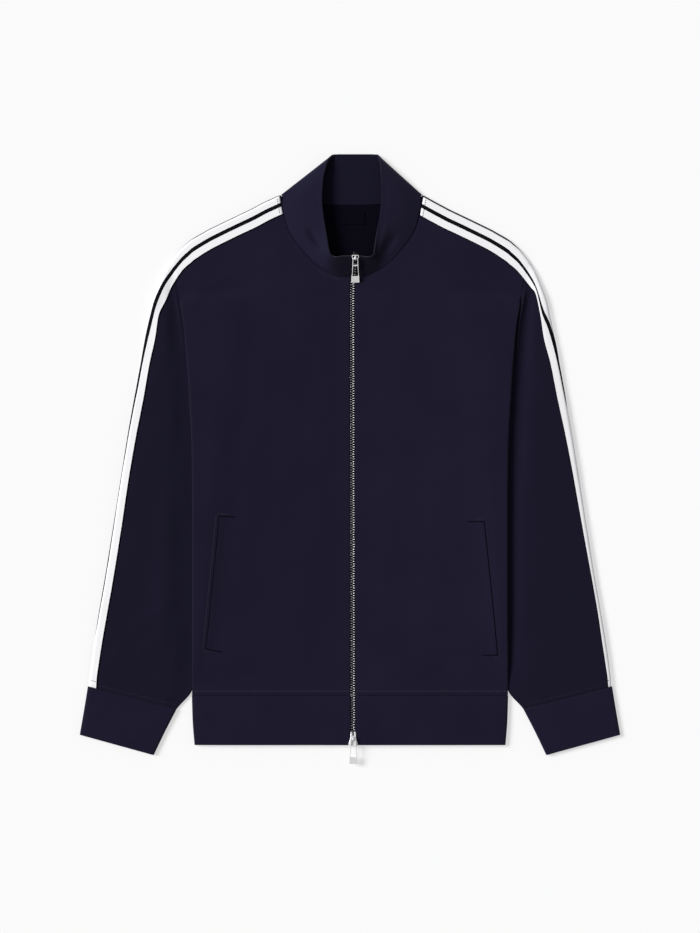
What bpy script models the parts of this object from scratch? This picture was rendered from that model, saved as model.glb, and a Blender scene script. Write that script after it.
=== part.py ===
"""A zip-through track jacket with a standing collar, laid flat on its back.

+X points right and +Y towards the collar as the jacket is seen from above, +Z up from the
surface that it lies on. The origin is on that surface under the middle of the jacket. Left and
right are the sides as seen from above. Sizes are millimetres, turned into metres by MM.
"""
import math
from collections import namedtuple

import bmesh
import bpy
from mathutils import Vector

MM = 0.001

# ---------------------------------------------------------------- cloth and seams
WALL = 1.4           # one layer of double knit
BAND_WALL = 2.2      # cuffs and hem band, the knit doubled
COLLAR_WALL = 2.4    # collar, the knit doubled with its seam between
TRIM_WALL = 1.0      # striped tape, zip tape and label
SEAM = 0.3           # clearance between pieces that are sewn together
MARGIN_TOP = 3.6     # height of the sleeve where the body lies on it, and of the armhole
MARGIN_LIFT = MARGIN_TOP + SEAM

# ---------------------------------------------------------------- neck and zip
NECK_X = 2.0         # the neck sits a little to the right of the middle
NECK_TOP = 5.0       # height of the fronts at the neck seam
ZIP_SLOT = 3.3       # half the gap between the front edges
ZIP_TAPE_EDGE = 9.5
CHAIN_HALF = 2.85
CHAIN_WALL = 2.6
COLLAR_FRONT_FOOT = (227.6, 5.6)   # y and height of the collar's outer face at the front seam
COLLAR_FRONT_RIM = (253.0, 17.5)   # the same at its rim

ZipPoint = namedtuple("ZipPoint", "y x")
ZIP_LINE = [ZipPoint(-357, 4.0), ZipPoint(203, 3.0), ZipPoint(219, 3.4), ZipPoint(254, 7.0)]

# Height of the zip's two ribbons, top face, from hem to rim
ZIP_TAPE_PATH = [(-354.5, 4.5), (-294, 4.5), (-275, 2.7), (203, 2.7), (219, 2.7), (229, 2.95), (253.2, 14.5)]
CHAIN_PATH = [(-349, 6.3), (-294, 6.3), (-275, 4.3), (203, 4.3), (219, 4.3), (229, 5.3), (249.2, 14.8)]

# ---------------------------------------------------------------- fronts
# A row runs from the zip to the side fold and on under it. lift is the height of the cloth
# under the fold, top that of the fold, margin_x where the under side leaves the sleeve and
# seam_x the hidden seam. A lapped row ends over the armhole, the others at the side seam.
FrontRow = namedtuple("FrontRow", "zip_y y fold_x margin_x seam_x lift top zip_top crown lapped")
FRONT_ROWS = [
    FrontRow(-294.1, -294.1, 197.3, 184.0, 178.0, 0.0, 5.6, 6.4, 6.0, False),
    FrontRow(-284.0, -284.0, 197.2, 184.0, 178.0, 0.0, 5.4, 5.4, 5.7, False),
    FrontRow(-271.0, -271.0, 197.0, 184.0, 177.0, 1.6, 6.6, 4.4, 5.8, False),
    FrontRow(-257.0, -257.0, 196.9, 184.0, 177.0, 3.9, 8.6, 4.4, 6.1, False),
    FrontRow(-240.0, -240.0, 196.8, 183.6, 177.6, 3.9, 9.6, 4.4, 6.3, False),
    FrontRow(-205.0, -205.0, 196.6, 173.3, 167.3, 3.9, 10.6, 4.4, 6.3, False),
    FrontRow(-163.0, -163.0, 196.5, 170.6, 164.6, 3.9, 10.8, 4.4, 6.3, False),
    FrontRow(-120.0, -120.0, 196.4, 169.8, 163.8, 3.9, 10.8, 4.4, 6.3, False),
    FrontRow(-74.0, -74.0, 196.5, 170.6, 164.6, 3.9, 10.8, 4.4, 6.3, False),
    FrontRow(-35.0, -35.0, 196.7, 172.6, 166.6, 3.9, 10.8, 4.4, 6.3, False),
    FrontRow(5.0, 5.0, 197.2, 176.8, 170.8, 3.9, 10.8, 4.4, 6.3, False),
    FrontRow(30.0, 30.0, 197.8, 180.2, 174.2, 3.9, 10.8, 4.4, 6.3, False),
    FrontRow(37.2, 36.8, 198.1, 185.3, 183.8, 3.9, 10.8, 4.4, 6.3, True),
    FrontRow(62.0, 60.0, 199.5, 188.5, 187.0, 3.9, 10.8, 4.4, 6.3, True),
    FrontRow(102.0, 95.0, 201.5, 194.5, 192.9, 3.9, 10.6, 4.4, 6.3, True),
    FrontRow(136.0, 125.0, 203.8, 198.8, 197.0, 3.9, 10.2, 4.4, 6.3, True),
    FrontRow(163.0, 150.0, 205.8, 202.0, 200.5, 3.9, 9.7, 4.4, 6.2, True),
    FrontRow(187.0, 172.0, 208.2, 204.8, 203.2, 3.9, 9.0, 4.4, 6.1, True),
    FrontRow(203.0, 186.0, 210.6, 207.6, 206.2, 3.9, 8.2, 4.5, 6.0, True),
]
# The side fold starts in three short rows: curled over, raised off the sleeve, then flush
CURLED_ROW = FrontRow(212.0, 195.0, 212.3, 0, 0, 3.9, 7.2, 4.6, 5.9, True)
RAISED_ROW = FrontRow(219.0, 201.0, 212.6, 0, 0, 3.9, 5.4, 4.8, 5.8, True)
FLUSH_ROW = FrontRow(227.3, 206.0, 213.55, 0, 0, 0.0, MARGIN_TOP, NECK_TOP, 5.6, True)
END_STEP = 0.5       # spacing of the last columns where the edge lies flat
CURL_STEP = 0.12     # and where it points down

# Share of the crown's and of the fold's height in each column between zip and fold
Column = namedtuple("Column", "place crown side")
FRONT_COLUMNS = [
    Column("zip edge", 0.0, 0.0), Column("zip stitching", 0.0, 0.0),
    Column("chest 1", 0.45, 0.0), Column("chest 2", 0.85, 0.0), Column("chest 3", 1.0, 0.0),
    Column("welt edge", 0.95, 0.05), Column("welt middle", 0.8, 0.2),
    Column("pocket mouth", 0.45, 0.55), Column("side", 0.05, 0.95),
]
ROLL_STEPS = 4       # faces round a folded edge
UNDER_COLUMNS = 3
COLUMN_COUNT = len(FRONT_COLUMNS) + ROLL_STEPS + 1 + UNDER_COLUMNS

# Pockets: the mouth slants out from its upper to its lower end, the welt lies inside it
POCKET_TOP_Y, POCKET_LOW_Y = -74.0, -240.0
MOUTH_TOP_X, MOUTH_LOW_X = 166.5, 183.3
WELT_WIDTH = 21.0
POCKET_SHIFT = {-1: -2.0, 1: 2.0}
# How far the ends of each pocket lie above or below those heights, at the welt's edge and the mouth
POCKET_ENDS = {-1: {POCKET_TOP_Y: (3.0, 4.0), POCKET_LOW_Y: (-1.0, 4.0)},
               1: {POCKET_TOP_Y: (-3.0, -3.0), POCKET_LOW_Y: (-4.5, -4.5)}}
WELT_COLUMN = 5      # the welt's edge among the columns below, and its mouth two columns on

# ---------------------------------------------------------------- shoulders and tape
SHOULDER_LINE = [(107, 321), (124, 311.9), (150.3, 299.4), (176, 286.9), (198, 274.4), (211.5, 261.9)]
SHOULDER_START = (88.4, 330.2)     # from the neck's own middle
SHOULDER_END = (221.4, 249.9)
SHOULDER_TOP = 3.8                 # height of the front at the shoulder end of the armhole
SHOULDER_LOW = 2.2                 # the front's shoulder edge stops this far above the floor
ARM_SLANT = Vector((-0.18, -0.9837))
TAPE_WIDTH = 24.0
HELD_STEP = 0.12                   # spacing of the tape's columns where its fold takes them up
TAPE_START = 0.012                 # share of the shoulder where the tape starts, beside the collar

BACK_JOG = (177.5, 33.8)           # the back steps in here, under the end of the front's lap

# ---------------------------------------------------------------- sleeves
# A ring runs from outer to inner edge. top and low are the heights of its outer edge, trim what
# the tape round that edge takes up, and tape the width of tape seen from above.
SleeveRing = namedtuple("SleeveRing", "outer inner top low trim tape")
SLEEVE_RINGS = [
    SleeveRing((222.7, 249.0), (184.6, 38.2), 3.6, 0.0, 0.0, 24.3),
    SleeveRing((229.8, 237.5), (184.1, 31.8), 4.3, 0.6, 0.6, 22.9),
    SleeveRing((236.2, 224.4), (182.4, 25.0), 5.0, 1.2, 1.0, 21.4),
    SleeveRing((245.8, 199.4), (181.0, 14.0), 5.6, 1.7, 1.3, 19.0),
    SleeveRing((251.6, 174.4), (179.6, 3.0), 5.6, 1.7, 1.3, 15.0),
    SleeveRing((259.3, 137.0), (178.0, -10.0), 5.6, 1.7, 1.3, 12.0),
    SleeveRing((268.0, 88.0), (176.0, -28.0), 5.6, 1.7, 1.3, 11.0),
    SleeveRing((277.0, 37.0), (174.5, -50.0), 5.6, 1.7, 1.3, 10.5),
    SleeveRing((286.0, -18.0), (173.3, -78.0), 5.6, 1.7, 1.3, 10.5),
    SleeveRing((296.5, -85.0), (172.5, -120.0), 5.6, 1.7, 1.3, 10.0),
    SleeveRing((307.0, -150.0), (173.5, -170.0), 5.6, 1.7, 1.3, 9.5),
    SleeveRing((314.0, -190.0), (176.0, -205.0), 5.6, 1.7, 1.3, 9.0),
    SleeveRing((320.5, -230.0), (187.5, -241.0), 5.6, 1.7, 1.3, 9.0),
    SleeveRing((324.5, -258.0), (197.9, -260.0), 5.6, 1.7, 1.3, 9.0),
    SleeveRing((326.2, -272.0), (198.2, -284.0), 5.6, 1.7, 1.3, 9.0),
    SleeveRing((326.9, -282.9), (215.9, -310.9), 5.6, 1.7, 1.3, 9.0),
]
CROWN_RISE = 0.7     # rise of a sleeve's top over its rolled edge
CROWN_REACH = 30.0   # distance from the body's edge over which a sleeve rises to its crown
CROWN_PLACES = (0.18, 0.42, 0.75)
MARGIN_CLEAR = 0.8   # the sleeve starts to rise this far outside the body's edge
SLEEVE_LOW_EDGE = 24.0    # the raised outer margin under a sleeve, which the tape fills
SLEEVE_FLAT_EDGE = 42.0

CUFF_TOP = 5.6
CUFF_RINGS = [
    SleeveRing((327.4, -283.7), (216.5, -311.7), CUFF_TOP, 0.0, 0.0, 0.0),
    SleeveRing((332.3, -313.6), (231.4, -340.6), CUFF_TOP, 0.0, 0.0, 0.0),
    SleeveRing((337.5, -343.5), (245.0, -369.0), CUFF_TOP, 0.0, 0.0, 0.0),
]

# ---------------------------------------------------------------- hem band
HemRow = namedtuple("HemRow", "y half_width")
HEM_ROWS = [HemRow(-294.5, 197.5), HemRow(-325.0, 196.6), HemRow(-356.3, 194.2)]
HEM_TOPS = [(0.0, 7.1), (0.06, 7.0), (0.25, 6.5), (0.6, 6.6)]    # place between zip and fold, height
HEM_FOLD_TOP = 6.0
HEM_FLOOR_PLACES = (150, 90, 30)

# ---------------------------------------------------------------- collar
# A section runs from the neck seam up to the rim. Places are half widths from the neck's middle.
CollarSection = namedtuple("CollarSection", "seam_x seam_y seam_z rim_right rim_left rim_y rim_z bow_right bow_left")
COLLAR_SECTIONS = [
    CollarSection(12.0, 228.1, 5.6, 12.0, 12.0, 252.8, 17.5, 0.0, 0.0),
    CollarSection(21.8, 231.0, 5.6, 20.5, 19.0, 251.6, 17.8, 0.0, 0.3),
    CollarSection(33.0, 236.5, 5.6, 27.5, 26.0, 255.0, 18.0, -0.8, 0.6),
    CollarSection(46.5, 246.0, 5.6, 29.0, 29.0, 265.0, 18.0, -1.5, 0.2),
    CollarSection(60.0, 260.5, 5.7, 30.5, 31.0, 277.0, 17.6, -0.6, -1.2),
    CollarSection(71.0, 274.0, 5.8, 32.5, 33.0, 290.0, 17.2, 1.2, 0.4),
    CollarSection(79.0, 288.0, 5.9, 35.0, 35.0, 304.0, 17.0, 2.2, 2.0),
    CollarSection(83.7, 305.3, 6.0, 36.7, 36.7, 322.0, 16.8, 2.4, 2.4),
    CollarSection(86.0, 318.0, 6.0, 37.0, 36.0, 345.0, 16.0, 2.2, 2.2),
    CollarSection(86.0, 328.3, 6.0, 35.8, 30.5, 370.5, 11.5, 1.5, 1.5),
    CollarSection(87.4, 329.9, 5.1, 35.0, 28.0, 376.0, 8.5, 0.8, 0.8),
    CollarSection(88.0, 330.6, 3.0, 33.9, 25.5, 379.2, 5.0, 0.0, 0.0),
    CollarSection(87.4, 329.9, 0.9, 32.0, 22.8, 381.0, 2.0, 0.0, 0.0),
    CollarSection(86.0, 328.3, 0.0, 28.5, 19.0, 381.3, 0.4, 0.0, 0.0),
    CollarSection(76.0, 326.0, 0.0, 24.0, 16.5, 381.3, 0.0, 0.0, 0.0),
    CollarSection(52.0, 321.2, 0.0, 16.0, 11.0, 381.3, 0.0, 0.0, 0.0),
    CollarSection(26.0, 318.6, 0.0, 8.0, 6.0, 381.3, 0.0, 0.0, 0.0),
]
COLLAR_BACK = CollarSection(0.0, 318.0, 0.0, 0.0, 0.0, 381.3, 0.0, 0.0, 0.0)
COLLAR_STEPS = 4
NECK_STATIONS = 7    # sections of the collar that the front's neck edge meets row by row

# ---------------------------------------------------------------- zip hardware
# The plate is widest where the zip opens, which is also the end where its post stands:
# opens is 1 if that end points to the collar and -1 if it points to the hem
Slider = namedtuple("Slider", "name x y z tilt length wide narrow opens pull_tilt")
SLOPE = math.atan2(COLLAR_FRONT_RIM[1] - COLLAR_FRONT_FOOT[1], COLLAR_FRONT_RIM[0] - COLLAR_FRONT_FOOT[0])
SLIDERS = [
    Slider("top", 6.7, 250.8, 16.5, SLOPE, 12.0, 10.0, 7.6, 1, math.radians(24.3)),
    Slider("bottom", 4.0, -348.2, 7.1, 0.0, 17.4, 12.6, 6.4, -1, math.radians(5.6)),
]
PLATE_WALL = 1.0
PLATE_RISE = 0.3         # the plate's clearance over the cloth
POST_WIDTH, POST_LENGTH = 2.4, 2.2
LOWER_PLATE_DEPTH = {"top": 5.2, "bottom": 4.6}    # its under side, below the cloth's face
LOWER_PLATE_WALL = 0.9
LOWER_PLATE_WIDTH = 5.6
HINGE_RISE = 2.0         # pull's axis above the plate
BAIL_WIDTH, BAIL_LENGTH, BAIL_TOP = 2.6, 5.4, 4.6
BAIL_HOLE_LENGTH, BAIL_HOLE_LOW, BAIL_HOLE_TOP = 3.4, 0.4, 3.6
PULL_LENGTH, PULL_WALL = 32.4, 1.6
PULL_TOP_WIDTH, PULL_FOOT_WIDTH = 9.2, 10.6
PULL_BAR = 0.9           # the hinge bar's reach on each side of its axis
PULL_WINDOWS = [(-0.9, -6.0, 4.2), (-7.5, -21.0, 5.4)]    # upper y, lower y, width
PULL_CORNER = 1.6

LABEL_SIZE = (31.0, 15.0)
LABEL_PLACE = (3.0, 301.0)

NAVY = (0.0137, 0.0123, 0.0262)
INNER_NAVY = (0.016, 0.014, 0.028)
WHITE = (0.82, 0.82, 0.83)
BLACK = (0.006, 0.006, 0.008)
SILVER = (0.62, 0.62, 0.63)


# ================================================================ small helpers
def polyline_at(points, value, key, out):
    """Read column `out` of a table of points at a given value of column `key`."""
    rows = sorted(points, key=lambda row: row[key])
    for low, high in zip(rows, rows[1:]):
        if value <= high[key]:
            break
    share = (value - low[key]) / (high[key] - low[key])
    return low[out] + share * (high[out] - low[out])


def zip_x(y):
    """Middle of the zip at a height up the jacket."""
    return polyline_at(ZIP_LINE, y, 0, 1)


def smooth(share):
    """Ease a share from 0 to 1 so that it starts and ends level."""
    share = min(max(share, 0.0), 1.0)
    return share * share * (3.0 - 2.0 * share)


def arc(radius, steps, first, last):
    """Places round a folded edge: distance in from its outermost point, and height from its middle."""
    turns = [math.radians(first + (last - first) * step / steps) for step in range(steps + 1)]
    return [(radius * (1.0 - math.cos(turn)), radius * math.sin(turn)) for turn in turns]


def material(name, colour, roughness, metallic=0.0):
    """A plain Principled material."""
    made = bpy.data.materials.new(name)
    made.use_nodes = True
    shader = made.node_tree.nodes["Principled BSDF"]
    shader.inputs["Base Color"].default_value = (*colour, 1.0)
    shader.inputs["Roughness"].default_value = roughness
    shader.inputs["Metallic"].default_value = metallic
    return made


def add_object(name, data, finish):
    """Link a mesh or curve into the jacket's collection with its own material."""
    made = bpy.data.objects.new(name, data)
    bpy.data.collections["track_jacket"].objects.link(made)
    if finish:
        data.materials.append(finish)
    return made


def sheet_mesh(name, rows, closed=False, flip=False):
    """Join neighbouring rows of millimetre points into one open sheet, or a tube if rows close."""
    mesh = bmesh.new()
    grid = [[mesh.verts.new(Vector(point) * MM) for point in row] for row in rows]
    for low, high in zip(grid, grid[1:]):
        count = len(low)
        for at in range(count if closed else count - 1):
            after = (at + 1) % count
            corners = [low[at], low[after], high[after], high[at]]
            mesh.faces.new(corners[::-1] if flip else corners)
    mesh.normal_update()
    return mesh


def move_out(mesh, distance):
    """Move every point of a sheet out along its own normal."""
    mesh.normal_update()
    shifts = [(vert, vert.normal * distance * MM) for vert in mesh.verts]
    for vert, shift in shifts:
        vert.co += shift


def shell(name, mesh, wall, finish, side=-1.0):
    """Turn an open sheet into a closed wall of cloth, behind its face or, for trim, in front."""
    data = bpy.data.meshes.new(name)
    mesh.to_mesh(data)
    mesh.free()
    data.shade_smooth()
    made = add_object(name, data, finish)
    thicken = made.modifiers.new("wall", "SOLIDIFY")
    thicken.thickness = wall * MM
    thicken.offset = side
    return made


# ================================================================ fronts
def column_places(row, side):
    """Distances from the jacket's middle of a row's columns between zip and fold."""
    radius = (row.top - row.lift) / 2.0
    zip_edge = side * zip_x(row.zip_y) + ZIP_SLOT
    slant = (MOUTH_TOP_X - MOUTH_LOW_X) / (POCKET_TOP_Y - POCKET_LOW_Y)
    mouth = MOUTH_TOP_X + slant * (row.y - POCKET_TOP_Y) + POCKET_SHIFT[side]
    welt = mouth - WELT_WIDTH
    fold_start = row.fold_x - radius
    chest = [zip_edge + 10.0 + (welt - zip_edge - 10.0) * share for share in (0.25, 0.5, 0.75)]
    return [zip_edge, zip_edge + 10.0, *chest, welt, (welt + mouth) / 2.0, mouth, (mouth + fold_start) / 2.0]


def column_height(row, column):
    """Height of the cloth in one column of a row."""
    plain = 1.0 - column.crown - column.side
    return row.zip_top * plain + row.crown * column.crown + row.top * column.side


def front_row(row, side):
    """Points of one row, from the zip over the side fold to the hidden seam."""
    radius = (row.top - row.lift) / 2.0
    middle = (row.top + row.lift) / 2.0
    flat = zip(column_places(row, side), FRONT_COLUMNS)
    line = [(place, column_height(row, column)) for place, column in flat]
    if row in (RAISED_ROW, FLUSH_ROW):
        left_over = COLUMN_COUNT - len(line)
        line += [(row.fold_x - END_STEP * back, row.top) for back in range(left_over - 1, -1, -1)]
    elif row is CURLED_ROW:
        drop = MARGIN_TOP / 2.0
        line += [(row.fold_x - away, row.top - drop + rise) for away, rise in arc(drop, 2, 90, 0)]
        left_over = COLUMN_COUNT - len(line)
        line += [(row.fold_x, row.top - drop - CURL_STEP * (step + 1)) for step in range(left_over)]
    else:
        line += [(row.fold_x - away, middle + rise) for away, rise in arc(radius, ROLL_STEPS, 90, -90)]
        if row.lapped:
            line += [(row.margin_x, row.lift), ((row.margin_x + row.seam_x) / 2.0, row.lift), (row.seam_x, row.lift)]
        else:
            line += [(row.margin_x, row.lift), (row.seam_x + 1.2, 0.0), (row.seam_x, 0.0)]
    zip_edge, end = line[0][0], row.fold_x
    shares = [min(max((place - zip_edge) / (end - zip_edge), 0.0), 1.0) for place, height in line]
    points = [(side * place, row.zip_y + (row.y - row.zip_y) * share, height)
              for (place, height), share in zip(line, shares)]
    edge_shift, mouth_shift = POCKET_ENDS[side].get(row.y, (0.0, 0.0))
    for step in range(3):
        x, y, z = points[WELT_COLUMN + step]
        points[WELT_COLUMN + step] = (x, y + edge_shift + (mouth_shift - edge_shift) * step / 2.0, z)
    return points


def shoulder_outline(side):
    """The shoulder's outer edge from the neck to the armhole, in half widths."""
    start = (SHOULDER_START[0] + NECK_X * side, SHOULDER_START[1])
    return [Vector(point) for point in [start, *SHOULDER_LINE, SHOULDER_END]]


def shoulder_radius(share):
    """Radius of the shoulder's rolled edge, share of the way to the armhole."""
    return NECK_TOP + (SHOULDER_TOP - NECK_TOP) * share - SHOULDER_LOW


def shoulder_point(side, share, inset):
    """Point of the front's shoulder margin: share of the way to the armhole, inset from the edge."""
    outline = shoulder_outline(side)
    lengths = [(b - a).length for a, b in zip(outline, outline[1:])]
    ahead = share * sum(lengths)
    for index, length in enumerate(lengths):
        if ahead <= length + 1e-9 or index == len(lengths) - 1:
            break
        ahead -= length
    along = (outline[index + 1] - outline[index]) / lengths[index]
    base = outline[index] + along * ahead
    inward = Vector((along.y, -along.x))
    radius = shoulder_radius(share)
    height = SHOULDER_LOW + radius
    if inset < radius:
        height = SHOULDER_LOW + math.sqrt(radius ** 2 - (radius - inset) ** 2)
    place = base + ARM_SLANT * (inset / ARM_SLANT.dot(inward))
    return (side * place.x, place.y, height)


def neck_edge(side):
    """The front's neck edge: the collar's seam places moved out by the seam's clearance."""
    seam = [Vector((section.seam_x + NECK_X * side, section.seam_y)) for section in COLLAR_SECTIONS]
    edge = []
    for at in range(NECK_STATIONS):
        along = (seam[at + 1] - seam[max(at - 1, 0)]).normalized()
        edge.append(seam[at] + Vector((along.y, -along.x)) * SEAM * 1.2)
    return edge


def front_grid(side):
    """All rows of one front panel, from the hem seam to the shoulder's edge."""
    rows = [front_row(row, side) for row in [*FRONT_ROWS, CURLED_ROW, RAISED_ROW, FLUSH_ROW]]
    start = rows[-1]
    shares = [at / (COLUMN_COUNT - 1) for at in range(COLUMN_COUNT)]
    neck = neck_edge(side)
    top = [shoulder_point(side, share, TAPE_WIDTH + 1.3) for share in shares]
    for step, place in enumerate(neck):
        line = [Vector(a).lerp(Vector(b), (step + 1) / (len(neck) + 1)) for a, b in zip(start, top)]
        shift = Vector((side * place.x, place.y, NECK_TOP)) - line[0]
        rows.append([tuple(point + shift * (1.0 - share) ** 1.5) for point, share in zip(line, shares)])
    rows.append(top)
    rows.append([shoulder_point(side, share, TAPE_WIDTH / 2.0) for share in shares])
    for turn in (90, 45, 0):
        away = 1.0 - math.cos(math.radians(turn))
        rows.append([shoulder_point(side, share, shoulder_radius(share) * away) for share in shares])
    return rows


def build_front(name, side, finish):
    """One front panel with its side fold."""
    mesh = sheet_mesh(name, front_grid(side), flip=side < 0)
    return shell(name, mesh, WALL, finish)


def build_welt(name, side, finish):
    """A pocket welt on the front, made from the panel's own points moved out."""
    rows = [row for row in FRONT_ROWS if POCKET_LOW_Y <= row.y <= POCKET_TOP_Y]
    columns = slice(WELT_COLUMN, WELT_COLUMN + 3)
    mesh = sheet_mesh(name, [front_row(row, side)[columns] for row in rows], flip=side < 0)
    move_out(mesh, SEAM)
    return shell(name, mesh, WALL, finish, 1.0)


# ================================================================ sleeves, cuffs and tape
def body_edge(y):
    """Half width at which the body's edge crosses a sleeve."""
    edge = [(row.y, row.fold_x) for row in [*FRONT_ROWS, CURLED_ROW, FLUSH_ROW]]
    edge.append((SHOULDER_END[1], SHOULDER_END[0]))
    return polyline_at(edge, y, 0, 1)


def margin_end(ring):
    """Place on a ring where it comes out from under the body."""
    inner, outer = Vector(ring.inner), Vector(ring.outer)
    low, high = 0.0, 1.0
    for _ in range(24):
        share = (low + high) / 2.0
        place = inner.lerp(outer, share)
        if place.x < body_edge(place.y) + MARGIN_CLEAR:
            low = share
        else:
            high = share
    return inner.lerp(outer, high)


class Ring:
    """One flattened ring of a sleeve or cuff, and the places round its outer edge."""

    def __init__(self, ring, before, after):
        outer, inner = Vector(ring.outer), Vector(ring.inner)
        outline = (Vector(after.outer) - Vector(before.outer)).normalized()
        self.row = ring
        self.inward = (inner - outer).normalized()
        self.skew = abs(self.inward.cross(outline))
        self.radius = (ring.top - ring.low) / 2.0
        self.outer = outer + self.inward * (ring.trim / self.skew)
        self.inner = inner
        self.flat = CUFF_TOP if ring in CUFF_RINGS else MARGIN_TOP
        self.start = margin_end(ring) if inner.x < body_edge(inner.y) else None
        self.tops = self.crown_points()

    def crown_points(self):
        """Top points between the body's edge and the rolled outer edge."""
        inner_radius = self.flat / 2.0
        first = self.start or self.inner - self.inward * (inner_radius + 1.0)
        if self.row is SLEEVE_RINGS[0]:
            first = Vector((FLUSH_ROW.fold_x + 0.3, FLUSH_ROW.y))
        last = self.outer + self.inward * (self.radius / self.skew)
        points = [(first, self.flat)]
        for share in CROWN_PLACES:
            place = first.lerp(last, share)
            free = place.x - (body_edge(place.y) if self.start else self.inner.x) - MARGIN_CLEAR
            crown = self.row.top + CROWN_RISE if self.row.top > self.flat else self.flat
            points.append((place, self.flat + (crown - self.flat) * smooth(free / CROWN_REACH)))
        return points

    def edge_point(self, travel):
        """Point at a distance round the outer edge: above 0 on its upper side, below 0 under it."""
        quarter = math.pi / 2.0 * self.radius
        middle = (self.row.top + self.row.low) / 2.0
        if abs(travel) <= quarter:
            turn = travel / self.radius
            inset, height = self.radius * (1.0 - math.cos(turn)), middle + self.radius * math.sin(turn)
        elif travel > 0:
            inset = self.radius + travel - quarter
            place, crown = self.tops[-1]
            reach = (place - self.outer).length * self.skew
            height = self.row.top + (crown - self.row.top) * (inset - self.radius) / (reach - self.radius)
        else:
            inset, height = self.radius - travel - quarter, self.row.low
        place = self.outer + self.inward * (inset / self.skew)
        return (place.x, place.y, height)

    def points(self):
        """The whole ring: inner edge, top, outer edge and floor side."""
        inner_radius = self.flat / 2.0
        line = [(self.inner - self.inward * away, inner_radius + rise)
                for away, rise in arc(inner_radius, ROLL_STEPS, -90, 90)]
        line += self.tops
        ring = [(place.x, place.y, height) for place, height in line]
        quarter = math.pi / 2.0 * self.radius
        ring += [self.edge_point(quarter * share) for share in (1.0, 0.5, 0.0, -0.5, -1.0)]
        under = [(SLEEVE_LOW_EDGE, self.row.low), (SLEEVE_FLAT_EDGE, 0.0)]
        ring += [(*(self.outer + self.inward * (inset / self.skew)), height) for inset, height in under]
        last = self.tops[0][0] if self.row is SLEEVE_RINGS[0] else self.inner.lerp(self.outer, 0.3)
        ring.append((last.x, last.y, 0.0))
        return ring


def make_rings(table):
    """Rings of a sleeve or cuff with the outline's direction taken from their neighbours."""
    last = len(table) - 1
    return [Ring(row, table[max(at - 1, 0)], table[min(at + 1, last)]) for at, row in enumerate(table)]


def mirrored(points, side):
    """Put half-width points on their side of the jacket."""
    return [(side * x, y, z) for x, y, z in points]


def build_tube(name, table, wall, side, finish):
    """A sleeve or cuff: a flattened tube open at both ends."""
    rings = [mirrored(ring.points(), side) for ring in make_rings(table)]
    mesh = sheet_mesh(name, rings, closed=True, flip=side > 0)
    return shell(name, mesh, wall, finish)


def held_between(marks, first, last):
    """Hold a row of falling distances between its two ends, without letting two coincide."""
    ends = len(marks) - 1
    return [min(max(mark, last + (ends - at) * HELD_STEP), first - at * HELD_STEP)
            for at, mark in enumerate(marks)]


def build_tape(name, side, finish):
    """The striped tape from the neck seam over the shoulder and round the sleeve's outer edge."""
    rows = []
    for share in [TAPE_START] + [at / (COLUMN_COUNT - 1) for at in range(1, COLUMN_COUNT)]:
        radius = shoulder_radius(share)
        insets = [TAPE_WIDTH - 0.2, 18.0, 10.0, radius, radius * (1.0 - math.cos(math.radians(67)))]
        low = radius * (1.0 - math.cos(math.radians(45)))
        insets += [low + HELD_STEP * back for back in (4, 3, 2, 1, 0)]
        rows.append([shoulder_point(side, share, inset) for inset in insets])
    for ring in make_rings(SLEEVE_RINGS):
        quarter = math.pi / 2.0 * ring.radius
        first = ring.row.tape - ring.radius + quarter
        marks = [first, 18.0, 10.0, quarter, quarter / 2.0, 0.0, -quarter / 2.0, -quarter, -9.0, first - TAPE_WIDTH]
        travels = held_between(marks, first, first - TAPE_WIDTH)
        rows.append(mirrored([ring.edge_point(travel) for travel in travels], side))
    mesh = sheet_mesh(name, rows, flip=side > 0)
    move_out(mesh, SEAM)
    return shell(name, mesh, TRIM_WALL, finish, 1.0)


# ================================================================ hem band, collar and back
def build_hem(finish):
    """One band from zip edge to zip edge: over the fronts, round the sides and under the back."""
    rows = []
    for row in HEM_ROWS:
        radius = HEM_FOLD_TOP / 2.0
        halves = []
        for side in (1, -1):
            edge = side * zip_x(row.y) + ZIP_SLOT
            width = row.half_width - radius - edge
            line = [(edge + width * share, height) for share, height in HEM_TOPS]
            line += [(row.half_width - away, radius + rise) for away, rise in arc(radius, 6, 90, -90)]
            line += [(place, 0.0) for place in HEM_FLOOR_PLACES]
            halves.append([(side * place, row.y, height) for place, height in line])
        rows.append(halves[0] + halves[1][::-1])
    return shell("hem_band", sheet_mesh("hem_band", rows, flip=True), BAND_WALL, finish)


def collar_line(section, side):
    """Points of one section of the collar from its seam to its rim."""
    foot = Vector((side * section.seam_x + NECK_X, section.seam_y, section.seam_z))
    rim_half = section.rim_right if side > 0 else section.rim_left
    rim = Vector((side * rim_half + NECK_X, section.rim_y, section.rim_z))
    bow = section.bow_right if side > 0 else section.bow_left
    line = []
    for step in range(COLLAR_STEPS + 1):
        share = step / COLLAR_STEPS
        line.append(foot.lerp(rim, share) + Vector((0, 0, bow * math.sin(math.pi * share))))
    return line


def zip_edge_line(side):
    """The collar's front edge beside the zip."""
    (foot_y, foot_z), (rim_y, rim_z) = COLLAR_FRONT_FOOT, COLLAR_FRONT_RIM
    foot = Vector((zip_x(foot_y) + side * ZIP_SLOT, foot_y, foot_z))
    rim = Vector((zip_x(rim_y) + side * ZIP_SLOT, rim_y, rim_z))
    return [foot.lerp(rim, step / COLLAR_STEPS) for step in range(COLLAR_STEPS + 1)]


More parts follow.
